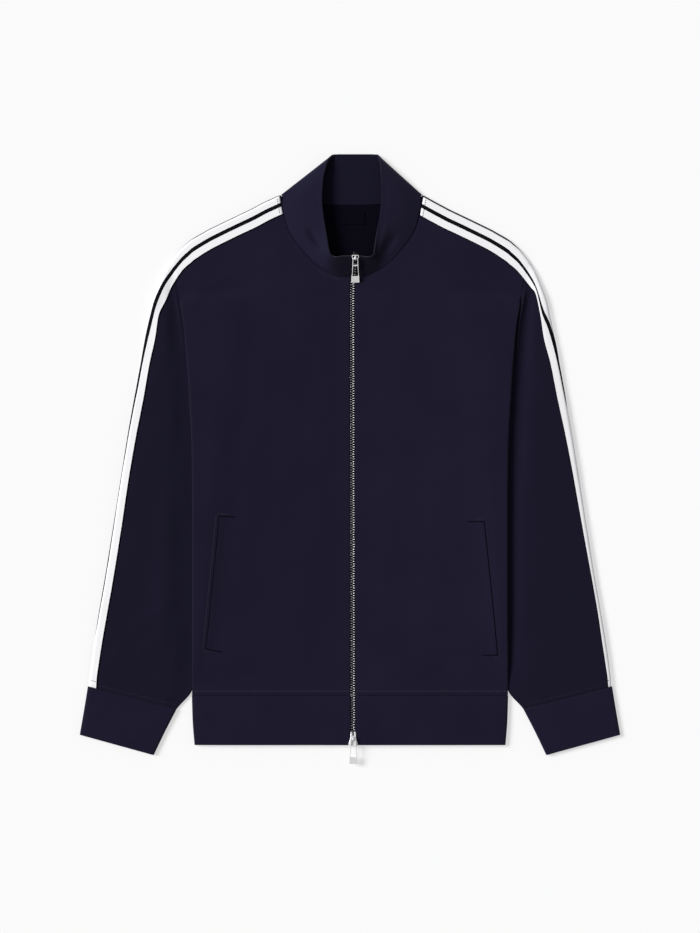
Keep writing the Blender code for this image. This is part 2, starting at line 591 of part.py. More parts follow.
def build_collar(finish):
    """The standing collar, low at the front, folded at the sides and flat at the back."""
    rows = [zip_edge_line(1)] + [collar_line(section, 1) for section in COLLAR_SECTIONS]
    rows.append(collar_line(COLLAR_BACK, 1))
    rows += [collar_line(section, -1) for section in reversed(COLLAR_SECTIONS)] + [zip_edge_line(-1)]
    mesh = sheet_mesh("collar", rows, flip=True)
    return shell("collar", mesh, COLLAR_WALL, finish)


def back_half(side):
    """Outline of one half of the back from the neck's middle round to the hem."""
    seam = [(section.seam_x, section.seam_y) for section in COLLAR_SECTIONS if section.seam_z == 0.0]
    line = [Vector((NECK_X * side, COLLAR_BACK.seam_y - 2.0 * SEAM))]
    line += [Vector((x + NECK_X * side, y - 2.0 * SEAM)) for x, y in reversed(seam)]
    line.append(Vector((88.0 + NECK_X * side, 328.8)))
    line += shoulder_outline(side)
    line.append(Vector((FLUSH_ROW.fold_x, FLUSH_ROW.y)))
    line.append(Vector((SLEEVE_RINGS[0].inner[0] - SEAM, SLEEVE_RINGS[0].inner[1] + 1.0)))
    line.append(Vector(BACK_JOG))
    side_rows = [row for row in reversed(FRONT_ROWS) if not row.lapped]
    line += [Vector((row.seam_x - SEAM, row.y)) for row in side_rows]
    return [(side * point.x, point.y) for point in line[0 if side > 0 else 1:]]


def flat_curve(name, outlines, thickness):
    """A flat plate from closed outlines: the first is its edge, the others are holes."""
    curve = bpy.data.curves.new(name, "CURVE")
    curve.dimensions = "2D"
    curve.fill_mode = "BOTH"
    curve.extrude = thickness * MM / 2.0
    for outline in outlines:
        spline = curve.splines.new("POLY")
        spline.points.add(len(outline) - 1)
        for point, place in zip(spline.points, outline):
            point.co = (place[0] * MM, place[1] * MM, 0.0, 1.0)
        spline.use_cyclic_u = True
    return curve


def build_back(finish):
    """The back panel, flat on the floor."""
    outline = back_half(1) + back_half(-1)[::-1]
    made = add_object("back", flat_curve("back", [outline], WALL), finish)
    made.location.z = WALL * MM / 2.0
    return made


def build_label(finish):
    """The blank label inside the back of the neck."""
    bpy.ops.mesh.primitive_cube_add(size=1.0)
    made = bpy.context.active_object
    made.name = made.data.name = "neck_label"
    for vert in made.data.vertices:
        vert.co = Vector((vert.co.x * LABEL_SIZE[0], vert.co.y * LABEL_SIZE[1], vert.co.z * TRIM_WALL)) * MM
    made.location = Vector((*LABEL_PLACE, WALL + SEAM + TRIM_WALL / 2.0)) * MM
    made.data.materials.append(finish)
    for owner in list(made.users_collection):
        owner.objects.unlink(made)
    bpy.data.collections["track_jacket"].objects.link(made)
    return made


# ================================================================ zip
def build_ribbon(name, path, first, last, wall, finish):
    """A strip that follows the zip: first and last are its edges, measured from the zip's middle."""
    rows = [[(zip_x(y) + first, y, z), (zip_x(y) + last, y, z)] for y, z in path]
    return shell(name, sheet_mesh(name, rows), wall, finish)


def box_mesh(name, low, high, far_width=None):
    """A box between two corners; far_width is its width at the end of larger y, if not the same."""
    mesh = bmesh.new()
    bmesh.ops.create_cube(mesh, size=1.0)
    for vert in mesh.verts:
        share = [value + 0.5 for value in vert.co]
        place = [a + (b - a) * s for a, b, s in zip(low, high, share)]
        if far_width and share[1] > 0.5:
            place[0] = math.copysign(far_width / 2.0, place[0])
        vert.co = Vector(place) * MM
    data = bpy.data.meshes.new(name)
    mesh.to_mesh(data)
    mesh.free()
    return data


def build_slider(slider, finish):
    """A zip slider: plate on the cloth, post through the slot, lower plate and bail."""
    name = f"slider_{slider.name}"
    place = Vector((slider.x, slider.y, slider.z)) * MM
    half = slider.length / 2.0
    low, high = PLATE_RISE, PLATE_RISE + PLATE_WALL
    near, far = (slider.narrow, slider.wide) if slider.opens > 0 else (slider.wide, slider.narrow)
    plate = box_mesh(name, (-near / 2, -half, low), (near / 2, half, high), far)
    made = add_object(name, plate, finish)
    depth = LOWER_PLATE_DEPTH[slider.name]
    post_y = half - POST_LENGTH
    pieces = [
        ("post", (-POST_WIDTH / 2, post_y, -depth), (POST_WIDTH / 2, half - 0.01, high - 0.01), "UNION"),
        ("lower_plate", (-LOWER_PLATE_WIDTH / 2, -half, -depth - 0.01),
         (LOWER_PLATE_WIDTH / 2, half + 0.01, -depth + LOWER_PLATE_WALL), "UNION"),
        ("bail", (-BAIL_WIDTH / 2, -BAIL_LENGTH / 2, high - 0.5), (BAIL_WIDTH / 2, BAIL_LENGTH / 2, high + BAIL_TOP),
         "UNION"),
        ("bail_hole", (-BAIL_WIDTH, -BAIL_HOLE_LENGTH / 2, high + BAIL_HOLE_LOW),
         (BAIL_WIDTH, BAIL_HOLE_LENGTH / 2, high + BAIL_HOLE_TOP), "DIFFERENCE"),
    ]
    for label, corner_low, corner_high, operation in pieces:
        if slider.opens < 0 and label == "post":
            corner_low, corner_high = flipped(corner_low, corner_high)
        cutter = bpy.data.objects.new(f"{name}_{label}", box_mesh(label, corner_low, corner_high))
        bpy.data.collections["cutters"].objects.link(cutter)
        cutter.hide_render = True
        cutter.display_type = "WIRE"
        cutter.location = place
        cutter.rotation_euler.x = slider.tilt
        cut = made.modifiers.new(label, "BOOLEAN")
        cut.operation = operation
        cut.solver = "EXACT"
        cut.object = cutter
    made.location = place
    made.rotation_euler.x = slider.tilt
    return made


def flipped(low, high):
    """The same box at the other end of the slider."""
    return (low[0], -high[1], low[2]), (high[0], -low[1], high[2])


def corner_outline(top_y, low_y, top_width, low_width, corner):
    """A four-sided outline with its two lower corners rounded."""
    half = low_width / 2.0
    points = [(-top_width / 2.0, top_y)]
    for centre_x, first, last in ((-half + corner, 180, 270), (half - corner, 270, 360)):
        for step in range(4):
            turn = math.radians(first + (last - first) * step / 3.0)
            points.append((centre_x + corner * math.cos(turn), low_y + corner + corner * math.sin(turn)))
    points.append((top_width / 2.0, top_y))
    return points


def build_pull(slider, finish):
    """A framed pull tab whose upper bar hangs in the slider's bail; its origin is its hinge axis."""
    name = f"pull_{slider.name}"
    outlines = [corner_outline(PULL_BAR, PULL_BAR - PULL_LENGTH, PULL_TOP_WIDTH, PULL_FOOT_WIDTH, PULL_CORNER)]
    for top_y, low_y, width in PULL_WINDOWS:
        half = width / 2.0
        outlines.append([(-half, top_y), (half, top_y), (half, low_y), (-half, low_y)])
    made = add_object(name, flat_curve(name, outlines, PULL_WALL), finish)
    rise = PLATE_RISE + PLATE_WALL + HINGE_RISE
    made.location = Vector((slider.x, slider.y - math.sin(slider.tilt) * rise,
                            slider.z + math.cos(slider.tilt) * rise)) * MM
    made.rotation_euler.x = slider.pull_tilt
    return made


# ================================================================ the whole jacket
def clear_scene():
    """Remove whatever the scene holds and make the two collections."""
    for old in list(bpy.data.objects):
        bpy.data.objects.remove(old)
    for name in ("track_jacket", "cutters"):
        bpy.context.scene.collection.children.link(bpy.data.collections.new(name))


def main():
    """Build every piece of the jacket."""
    clear_scene()
    for side, word in ((-1, "left"), (1, "right")):
        build_front(f"front_{word}", side, material(f"front_{word}", NAVY, 0.85))
        build_welt(f"pocket_welt_{word}", side, material(f"pocket_welt_{word}", NAVY, 0.85))
        build_tube(f"sleeve_{word}", SLEEVE_RINGS, WALL, side, material(f"sleeve_{word}", NAVY, 0.85))
        build_tube(f"cuff_{word}", CUFF_RINGS, BAND_WALL, side, material(f"cuff_{word}", NAVY, 0.85))
        build_tape(f"sleeve_tape_{word}", side, material(f"sleeve_tape_{word}", WHITE, 0.8))
        edges = sorted((side * ZIP_SLOT, side * ZIP_TAPE_EDGE))
        build_ribbon(f"zip_tape_{word}", ZIP_TAPE_PATH, *edges, TRIM_WALL,
                     material(f"zip_tape_{word}", BLACK, 0.8))
    build_back(material("back", INNER_NAVY, 0.85))
    build_hem(material("hem_band", NAVY, 0.85))
    build_collar(material("collar", NAVY, 0.85))
    build_label(material("neck_label", BLACK, 0.6))
    build_ribbon("zip_chain", CHAIN_PATH, -CHAIN_HALF, CHAIN_HALF, CHAIN_WALL,
                 material("zip_chain", SILVER, 0.35, 1.0))
    for slider in SLIDERS:
        build_slider(slider, material(f"slider_{slider.name}", SILVER, 0.3, 1.0))
        build_pull(slider, material(f"pull_{slider.name}", SILVER, 0.3, 1.0))


main()
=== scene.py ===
"""Looks of a zip-through track jacket, laid flat on its back. Sizes are millimetres unless said."""
import math
from collections import namedtuple
from functools import partial

import bmesh
import bpy
import numpy as np
from bpy.props import FloatProperty, FloatVectorProperty, PointerProperty
from mathutils import Euler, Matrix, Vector
from mathutils.bvhtree import BVHTree


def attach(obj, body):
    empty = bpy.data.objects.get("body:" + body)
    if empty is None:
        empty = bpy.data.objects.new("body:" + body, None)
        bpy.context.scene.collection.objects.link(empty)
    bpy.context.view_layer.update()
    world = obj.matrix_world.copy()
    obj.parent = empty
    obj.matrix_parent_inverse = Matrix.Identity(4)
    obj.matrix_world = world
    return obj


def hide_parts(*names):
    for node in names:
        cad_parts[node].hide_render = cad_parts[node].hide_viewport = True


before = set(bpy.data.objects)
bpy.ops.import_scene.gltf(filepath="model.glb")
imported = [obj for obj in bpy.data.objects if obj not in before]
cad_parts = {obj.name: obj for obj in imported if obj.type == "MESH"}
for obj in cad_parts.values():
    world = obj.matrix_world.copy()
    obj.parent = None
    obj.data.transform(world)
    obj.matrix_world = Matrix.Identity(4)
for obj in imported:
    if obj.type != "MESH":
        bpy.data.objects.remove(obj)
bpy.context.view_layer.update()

bl_info = {
    "name": "Track jacket laid flat",
    "version": (1, 0, 0),
    "blender": (4, 5, 0),
    "location": "View3D > Sidebar > Jacket",
    "description": "Builds the cloth, zip, stitching and stage of a zip-through track jacket",
    "category": "Object",
}

MM = 0.001
BODY = "jacket"
SIDES = ((-1, "left"), (1, "right"))

# ================================================================ sizes of the cloth's form
WALL, BAND_WALL, COLLAR_WALL = 1.4, 2.2, 2.4
SEAM = 0.3
MARGIN_TOP = 3.6
NECK_X, NECK_TOP = 2.0, 5.0
ZIP_SLOT, ZIP_MARGIN = 3.3, 10.0
ZIP_LINE = [(-357, 4.0), (203, 3.0), (219, 3.4), (254, 7.0)]
ZIP_TAPE_PATH = [(-354.5, 4.5), (-294, 4.5), (-275, 2.7), (203, 2.7), (219, 2.7), (229, 2.95),
                 (253.2, 14.5)]
CHAIN_PATH = [(-349, 6.3), (-294, 6.3), (-275, 4.3), (203, 4.3), (219, 4.3), (229, 5.3),
              (249.2, 14.8)]
COLLAR_FRONT_FOOT, COLLAR_FRONT_RIM = (227.6, 5.6), (253.0, 17.5)

FrontRow = namedtuple("FrontRow", "zip_y y fold_x margin_x seam_x lift top zip_top crown lapped",
                      defaults=(3.9, 10.8, 4.4, 6.3, False))
FRONT_ROWS = [FrontRow(*row) for row in (
    (-294.1, -294.1, 197.3, 184.0, 178.0, 0.0, 5.6, 6.4, 6.0, False),
    (-284.0, -284.0, 197.2, 184.0, 178.0, 0.0, 5.4, 5.4, 5.7, False),
    (-271.0, -271.0, 197.0, 184.0, 177.0, 1.6, 6.6, 4.4, 5.8, False),
    (-257.0, -257.0, 196.9, 184.0, 177.0, 3.9, 8.6, 4.4, 6.1, False),
    (-240.0, -240.0, 196.8, 183.6, 177.6, 3.9, 9.6, 4.4, 6.3, False),
    (-205.0, -205.0, 196.6, 173.3, 167.3, 3.9, 10.6, 4.4, 6.3, False),
    (-163.0, -163.0, 196.5, 170.6, 164.6),
    (-120.0, -120.0, 196.4, 169.8, 163.8),
    (-74.0, -74.0, 196.5, 170.6, 164.6),
    (-35.0, -35.0, 196.7, 172.6, 166.6),
    (5.0, 5.0, 197.2, 176.8, 170.8),
    (30.0, 30.0, 197.8, 180.2, 174.2),
    (37.2, 36.8, 198.1, 185.3, 183.8, 3.9, 10.8, 4.4, 6.3, True),
    (62.0, 60.0, 199.5, 188.5, 187.0, 3.9, 10.8, 4.4, 6.3, True),
    (102.0, 95.0, 201.5, 194.5, 192.9, 3.9, 10.6, 4.4, 6.3, True),
    (136.0, 125.0, 203.8, 198.8, 197.0, 3.9, 10.2, 4.4, 6.3, True),
    (163.0, 150.0, 205.8, 202.0, 200.5, 3.9, 9.7, 4.4, 6.2, True),
    (187.0, 172.0, 208.2, 204.8, 203.2, 3.9, 9.0, 4.4, 6.1, True),
    (203.0, 186.0, 210.6, 207.6, 206.2, 3.9, 8.2, 4.5, 6.0, True),
)]
CURLED_ROW = FrontRow(212.0, 195.0, 212.3, 0, 0, 3.9, 7.2, 4.6, 5.9, True)
RAISED_ROW = FrontRow(219.0, 201.0, 212.6, 0, 0, 3.9, 5.4, 4.8, 5.8, True)
FLUSH_ROW = FrontRow(227.3, 206.0, 213.55, 0, 0, 0.0, MARGIN_TOP, NECK_TOP, 5.6, True)
END_STEP, CURL_STEP, SEAM_STEP = 0.5, 0.12, 1.2
# The side fold's upper half against a plain arc: how far in it reaches, how high it stands, and
# the share of the arc's rise up to which it stands higher
ROLL_REACH, ROLL_RISE, ROLL_CROWN = 0.6, 1.2, 0.9
# Shares of the crown's and of the side's height, column by column from the zip to the side fold
COLUMN_SHARES = [(0, 0), (0, 0), (0.45, 0), (0.85, 0), (0.9, 0.1), (0.68, 0.32), (0.5, 0.5),
                 (0.28, 0.72), (0.05, 0.95)]
WELT_COLUMN = 5
ROLL_STEPS = 4
COLUMN_COUNT = len(COLUMN_SHARES) + ROLL_STEPS + 4
POCKET_TOP_Y, POCKET_LOW_Y = -74.0, -240.0
MOUTH_TOP_X, MOUTH_LOW_X, WELT_WIDTH = 166.5, 183.3, 21.0
POCKET_SHIFT = {-1: -2.0, 1: 2.0}
POCKET_ENDS = {-1: {POCKET_TOP_Y: (3.0, 4.0), POCKET_LOW_Y: (-1.0, 4.0)},
               1: {POCKET_TOP_Y: (-3.0, -3.0), POCKET_LOW_Y: (-4.5, -4.5)}}

SHOULDER_LINE = [(107, 321), (124, 311.9), (150.3, 299.4), (176, 286.9), (198, 274.4), (211.5, 261.9)]
SHOULDER_START, SHOULDER_END = (88.4, 330.2), (221.4, 249.9)
SHOULDER_TOP, SHOULDER_LOW = 3.8, 2.2
ARM_SLANT = np.array((-0.18, -0.9837))
TAPE_WIDTH = 24.0
BACK_JOG, BACK_NECK = (177.5, 33.8), (88.0, 328.8)

SleeveRing = namedtuple("SleeveRing", "outer inner top low trim", defaults=(5.6, 1.7, 1.3))
SLEEVE_RINGS = [SleeveRing(*row) for row in (
    ((222.7, 249.0), (184.6, 38.2), 3.6, 0.0, 0.0),
    ((229.8, 237.5), (184.1, 31.8), 4.3, 0.6, 0.6),
    ((236.2, 224.4), (182.4, 25.0), 5.0, 1.2, 1.0),
    ((245.8, 199.4), (181.0, 14.0)),
    ((251.6, 174.4), (179.6, 3.0)),
    ((259.3, 137.0), (178.0, -10.0)),
    ((268.0, 88.0), (176.0, -28.0)),
    ((277.0, 37.0), (174.5, -50.0)),
    ((286.0, -18.0), (173.3, -78.0)),
    ((296.5, -85.0), (172.5, -120.0)),
    ((307.0, -150.0), (173.5, -170.0)),
    ((314.0, -190.0), (176.0, -205.0)),
    ((320.5, -230.0), (187.5, -241.0)),
    ((324.5, -258.0), (197.9, -260.0)),
    ((326.2, -272.0), (198.2, -284.0)),
    ((326.9, -282.9), (215.9, -310.9)),
)]
CROWN_RISE, CROWN_REACH, CROWN_PLACES, MARGIN_CLEAR = 0.7, 30.0, (0.18, 0.42, 0.75), 0.8
TUCKED_SHARE, TUCKED_STEP = 0.3, 0.3
SLEEVE_LOW_EDGE, SLEEVE_FLAT_EDGE = 24.0, 42.0
CUFF_TOP = 5.6
CUFF_RINGS = [SleeveRing(*row) for row in (
    ((327.4, -283.7), (216.5, -311.7), CUFF_TOP, 0.0, 0.0),
    ((332.3, -313.6), (231.4, -340.6), CUFF_TOP, 0.0, 0.0),
    ((337.5, -343.5), (245.0, -369.0), CUFF_TOP, 0.0, 0.0),
)]

# Tape seen from above on each sleeve ring: distance from its inner edge to the outline, then the
# drawn widths of its inner white, navy and outer white. The rest of it rolls under the edge.
TapeLay = namedtuple("TapeLay", "reach inner navy outer")
TAPE_PLAIN = {-1: TapeLay(23.4, 8.7, 4.8, 8.0), 1: TapeLay(24.5, 8.7, 4.8, 7.9)}
TAPE_LAYS = {
    -1: [TapeLay(*row) for row in (
        (18.6, 6.4, 4.3, 8.0), (17.1, 7.4, 4.1, 8.2), (15.6, 8.3, 3.9, 8.4), (12.2, 6.3, 4.0, 8.4),
        (12.8, 7.9, 4.1, 8.4), (12.0, 8.3, 4.6, 8.4), (11.9, 8.7, 4.8, 8.4), (10.9, 8.6, 4.8, 8.4),
        (10.4, 8.6, 4.8, 8.4), (10.9, 8.9, 4.8, 8.4), (10.9, 8.9, 4.8, 8.4), (10.8, 8.9, 4.8, 8.4),
        (10.4, 9.1, 4.8, 8.4), (10.2, 9.1, 4.8, 8.4), (10.0, 9.1, 4.8, 8.4), (10.0, 9.1, 4.8, 8.4))],
    1: [TapeLay(*row) for row in (
        (19.2, 6.8, 3.2, 8.4), (15.0, 4.6, 2.4, 8.2), (10.9, 2.4, 1.5, 7.8), (13.8, 2.9, 3.3, 6.8),
        (14.1, 7.4, 3.7, 8.4), (12.0, 7.9, 4.4, 8.4), (10.8, 8.3, 4.8, 8.4), (8.9, 8.8, 4.8, 8.4),
        (7.4, 8.8, 4.8, 8.4), (6.0, 8.8, 4.8, 8.4), (4.6, 8.8, 4.8, 8.4), (4.6, 8.8, 4.8, 8.4),
        (5.2, 8.8, 4.8, 8.4), (4.9, 8.8, 4.8, 8.4), (4.6, 8.8, 4.8, 8.4), (4.4, 8.8, 4.8, 8.4))],
}
TAPE_EDGE, TAPE_OUTER_EDGE = 1.0, 2.5

HEM_ROWS = [(-294.5, 197.5), (-325.0, 196.6), (-356.3, 194.2)]
HEM_TOPS = [(0.0, 7.1), (0.06, 7.0), (0.25, 6.5), (0.6, 6.6)]
HEM_FOLD_TOP = 6.0

CollarSection = namedtuple("CollarSection", "seam_x seam_y seam_z rim_right rim_left rim_y rim_z"
                                            " bow_right bow_left")
COLLAR_SECTIONS = [CollarSection(*row) for row in (
    (12.0, 228.1, 5.6, 12.0, 12.0, 252.8, 17.5, 0.0, 0.0),
    (21.8, 231.0, 5.6, 20.5, 19.0, 251.6, 17.8, 0.0, 0.3),
    (33.0, 236.5, 5.6, 27.5, 26.0, 255.0, 18.0, -0.8, 0.6),
    (46.5, 246.0, 5.6, 29.0, 29.0, 265.0, 18.0, -1.5, 0.2),
    (60.0, 260.5, 5.7, 30.5, 31.0, 277.0, 17.6, -0.6, -1.2),
    (71.0, 274.0, 5.8, 32.5, 33.0, 290.0, 17.2, 1.2, 0.4),
    (79.0, 288.0, 5.9, 35.0, 35.0, 304.0, 17.0, 2.2, 2.0),
    (83.7, 305.3, 6.0, 36.7, 36.7, 322.0, 16.8, 2.4, 2.4),
    (86.0, 318.0, 6.0, 37.0, 36.0, 345.0, 16.0, 2.2, 2.2),
    (86.0, 328.3, 6.0, 35.8, 30.5, 370.5, 11.5, 1.5, 1.5),
    (87.4, 329.9, 5.1, 35.0, 28.0, 376.0, 8.5, 0.8, 0.8),
    (88.0, 330.6, 3.0, 33.9, 25.5, 379.2, 5.0, 0.0, 0.0),
    (87.4, 329.9, 0.9, 32.0, 22.8, 381.0, 2.0, 0.0, 0.0),
    (86.0, 328.3, 0.0, 28.5, 19.0, 381.3, 0.4, 0.0, 0.0),
    (76.0, 326.0, 0.0, 24.0, 16.5, 381.3, 0.0, 0.0, 0.0),
    (52.0, 321.2, 0.0, 16.0, 11.0, 381.3, 0.0, 0.0, 0.0),
    (26.0, 318.6, 0.0, 8.0, 6.0, 381.3, 0.0, 0.0, 0.0),
)]
COLLAR_BACK = CollarSection(0.0, 318.0, 0.0, 0.0, 0.0, 381.3, 0.0, 0.0, 0.0)
COLLAR_STEPS, NECK_STATIONS = 4, 7
COLLAR_SLOPE = math.atan2(COLLAR_FRONT_RIM[1] - COLLAR_FRONT_FOOT[1],
                          COLLAR_FRONT_RIM[0] - COLLAR_FRONT_FOOT[0])

# Zip hardware: where each slider sits, its length and widths, and the tilt of its pull
Slider = namedtuple("Slider", "name x y z tilt length wide narrow opens pull_tilt")
SLIDERS = [
    Slider("top", 6.7, 250.8, 16.5, COLLAR_SLOPE, 12.0, 10.0, 7.6, 1, math.radians(24.3)),
    Slider("bottom", 4.0, -348.2, 7.1, 0.0, 17.4, 12.6, 6.4, -1, math.radians(5.6)),
]
HINGE_RISE = 3.3

# Creases: a line from one place to another, its half width and how far it stands up or sinks.
# The front's, sleeve's and cuff's are given in half widths, one list to each side.
Crease = namedtuple("Crease", "x1 y1 x2 y2 width height")
FRONT_CREASES = {
    -1: [Crease(*row) for row in (
        (205, 198, 150, 232, 9, 0.55), (203, 176, 168, 205, 7, -0.4), (196, 60, 150, 20, 16, 0.5),
        (188, -60, 120, -20, 22, 0.45), (185, -262, 110, -250, 10, 0.5), (60, 190, 25, 120, 14, 0.35),
        (70, -268, 20, -262, 7, 0.35), (120, 250, 88, 292, 9, -0.35), (30, -40, 14, -140, 12, 0.3))],
    1: [Crease(*row) for row in (
        (206, 204, 160, 226, 8, 0.6), (204, 182, 172, 214, 6, -0.45), (196, 30, 140, -5, 18, 0.45),
        (186, -40, 130, -68, 20, 0.4), (180, -268, 120, -256, 9, 0.45), (48, 205, 30, 150, 12, 0.3),
        (90, -270, 30, -262, 8, 0.4), (128, 262, 96, 298, 8, -0.4), (26, 20, 16, -70, 10, 0.3))],
}
SLEEVE_CREASES = {
    -1: [Crease(*row) for row in (
        (228, -50, 233, -238, 13, 1.7), (216, 196, 236, 150, 8, 0.9), (224, 160, 246, 90, 9, 0.6),
        (210, 60, 262, 20, 14, 0.5), (214, -90, 290, -120, 12, 0.55), (210, -170, 280, -222, 9, 0.7),
        (222, -215, 300, -262, 7, 0.65), (230, -258, 268, -282, 5, -0.5),
        (285, -236, 316, -268, 6, 0.5), (232, 205, 240, 180, 5, -0.6))],
    1: [Crease(*row) for row in (
        (220, 204, 234, 168, 7, 0.8), (222, 150, 250, 74, 10, 0.65), (212, 20, 270, -14, 13, 0.5),
        (212, -70, 286, -96, 13, 0.5), (208, -190, 286, -206, 9, 0.6), (220, -232, 306, -246, 7, 0.7),
        (236, -268, 280, -284, 5, -0.5), (240, 190, 246, 140, 5, 0.5),
        (292, -210, 318, -252, 6, 0.45))],
}
CUFF_CREASES = {
    -1: [Crease(*row) for row in (
        (226, -318, 262, -330, 5, 0.3), (300, -300, 326, -322, 7, 0.35), (255, -345, 280, -352, 6, 0.3))],
    1: [Crease(*row) for row in (
        (232, -322, 268, -326, 5, 0.35), (296, -306, 328, -316, 6, 0.3), (262, -350, 290, -344, 6, 0.25))],
}
HEM_CREASES = [Crease(*row) for row in (
    (-186, -300, -180, -350, 8, 0.35), (-120, -298, -108, -350, 12, 0.3), (-40, -300, -52, -348, 10, 0.25),
    (62, -299, 50, -352, 11, 0.3), (128, -300, 140, -350, 12, 0.3), (176, -302, 186, -348, 7, 0.4))]
COLLAR_CREASES = [Crease(*row) for row in (
    (-62, 286, -46, 262, 5.0, 1.3), (-51, 286, -34, 262, 4.0, -2.8), (-30, 252, -12, 241, 5.0, -1.4),
    (58, 281, 41, 256, 5.0, -2.4), (47, 292, 33, 252, 4.0, 1.3), (32, 250, 15, 240, 5.0, -1.6),
    (-72, 318, -50, 340, 7, 0.6), (70, 322, 52, 350, 7, 0.6))]

# The sleeve beside the body: height up the jacket, how far out its hollow lies, the hollow's half
# width and depth, and the height of the ridge between it and the body
HOLLOWS = {
    -1: [(-290, 6, 12, 0.2, 0.0), (-240, 8, 18, 0.9, 0.0), (-150, 8, 20, 0.9, 0.0), (0, 7, 16, 0.6, 0.0),
         (110, 8, 12, 0.7, 0.0), (160, 8, 8, 0.9, 0.5), (190, 8, 5, 1.2, 0.8), (212, 9, 4, 0.4, 0.2)],
    1: [(-290, 2, 2.5, 0.3, 0.0), (-220, 7, 6.5, 1.1, 0.0), (-150, 9, 8, 1.4, 0.0),
        (-50, 10, 8, 1.5, 0.0), (60, 14.5, 10, 2.0, 0.0), (110, 14, 9.5, 2.2, 0.8),
        (150, 13.5, 7.5, 2.5, 2.0), (178, 12.5, 6, 2.5, 2.4), (200, 11.5, 4.5, 2.1, 2.4),
        (214, 10, 3, 0.5, 0.6)],
}
RIDGE_OUT, RIDGE_WIDTH = 3.6, 2.2
HOLLOW_LOW, HOLLOW_LOW_REACH, HOLLOW_TOP, HOLLOW_TOP_REACH = -300.0, 20.0, 222.0, 8.0


# ================================================================ the form, as in the solids
def polyline_at(points, place):
    """Read a table of (place, value) pairs at a place, going straight on past its ends."""
    rows = sorted(points, key=lambda row: row[0])
    for low, high in zip(rows, rows[1:]):
        if place <= high[0]:
            break
    return low[1] + (place - low[0]) / (high[0] - low[0]) * (high[1] - low[1])


def zip_x(y):
    """Middle of the zip at a height up the jacket."""
    return polyline_at(ZIP_LINE, y)


def smooth(share):
    """Ease a share from 0 to 1 so that it starts and ends level."""
    share = np.clip(share, 0.0, 1.0)
    return share * share * (3.0 - 2.0 * share)


def eased(values, start, reach):
    """Ease values from 0 at a start to 1 a reach further on."""
    return smooth((values - start) / reach)


def arc(radius, steps, first, last):
    """Places round a folded edge: distance in from its outermost point, and height from its middle."""
    turns = [math.radians(first + (last - first) * step / steps) for step in range(steps + 1)]
    return [(radius * (1.0 - math.cos(turn)), radius * math.sin(turn)) for turn in turns]


def column_places(row, side):
    """Distances from the jacket's middle of a row's columns between zip and fold."""
    zip_edge = side * zip_x(row.zip_y) + ZIP_SLOT
    slant = (MOUTH_TOP_X - MOUTH_LOW_X) / (POCKET_TOP_Y - POCKET_LOW_Y)
    mouth = MOUTH_TOP_X + slant * (row.y - POCKET_TOP_Y) + POCKET_SHIFT[side]
    welt = mouth - WELT_WIDTH
    fold_start = row.fold_x - (row.top - row.lift) / 2.0
    chest = [zip_edge + ZIP_MARGIN + (welt - zip_edge - ZIP_MARGIN) * share for share in (0.25, 0.5, 0.75)]
    return [zip_edge, zip_edge + ZIP_MARGIN, *chest, welt, (welt + mouth) / 2.0, mouth,
            (mouth + fold_start) / 2.0]


def front_row(row, side):
    """Points of one row, from the zip over the side fold to the hidden seam."""
    radius, middle = (row.top - row.lift) / 2.0, (row.top + row.lift) / 2.0
    line = [(place, row.zip_top * (1.0 - crown - fold) + row.crown * crown + row.top * fold)
            for place, (crown, fold) in zip(column_places(row, side), COLUMN_SHARES)]
    left_over = COLUMN_COUNT - len(line)
    if row in (RAISED_ROW, FLUSH_ROW):
        line += [(row.fold_x - END_STEP * back, row.top) for back in range(left_over - 1, -1, -1)]
    elif row is CURLED_ROW:
        drop = MARGIN_TOP / 2.0
        line += [(row.fold_x - away, row.top - drop + rise) for away, rise in arc(drop, 2, 90, 0)]
        line += [(row.fold_x, row.top - drop - CURL_STEP * (step + 1))
                 for step in range(left_over - 3)]
    else:
        for away, rise in arc(radius, ROLL_STEPS, 90, -90):
            reach = ROLL_REACH if rise > 0 else 1.0
            fuller = ROLL_RISE if 0 < rise < ROLL_CROWN * radius else 1.0
            line.append((row.fold_x - away * reach, middle + rise * fuller))
        near = (row.margin_x + row.seam_x) / 2.0 if row.lapped else row.seam_x + SEAM_STEP
        low = row.lift if row.lapped else 0.0
        line += [(row.margin_x, row.lift), (near, low), (row.seam_x, low)]
    start = line[0][0]
    shares = [min(max((place - start) / (row.fold_x - start), 0.0), 1.0) for place, height in line]
    points = [(side * place, row.zip_y + (row.y - row.zip_y) * share, height)
              for (place, height), share in zip(line, shares)]
    edge_shift, mouth_shift = POCKET_ENDS[side].get(row.y, (0.0, 0.0))
    for step in range(3):
        x, y, z = points[WELT_COLUMN + step]
        points[WELT_COLUMN + step] = (x, y + edge_shift + (mouth_shift - edge_shift) * step / 2.0, z)
    return points


def shoulder_outline(side):
    """The shoulder's outer edge from the neck to the armhole, in half widths."""
    return np.array([(SHOULDER_START[0] + NECK_X * side, SHOULDER_START[1]), *SHOULDER_LINE, SHOULDER_END])


def shoulder_radius(share):
    """Radius of the shoulder's rolled edge, share of the way to the armhole."""
    return NECK_TOP + (SHOULDER_TOP - NECK_TOP) * share - SHOULDER_LOW


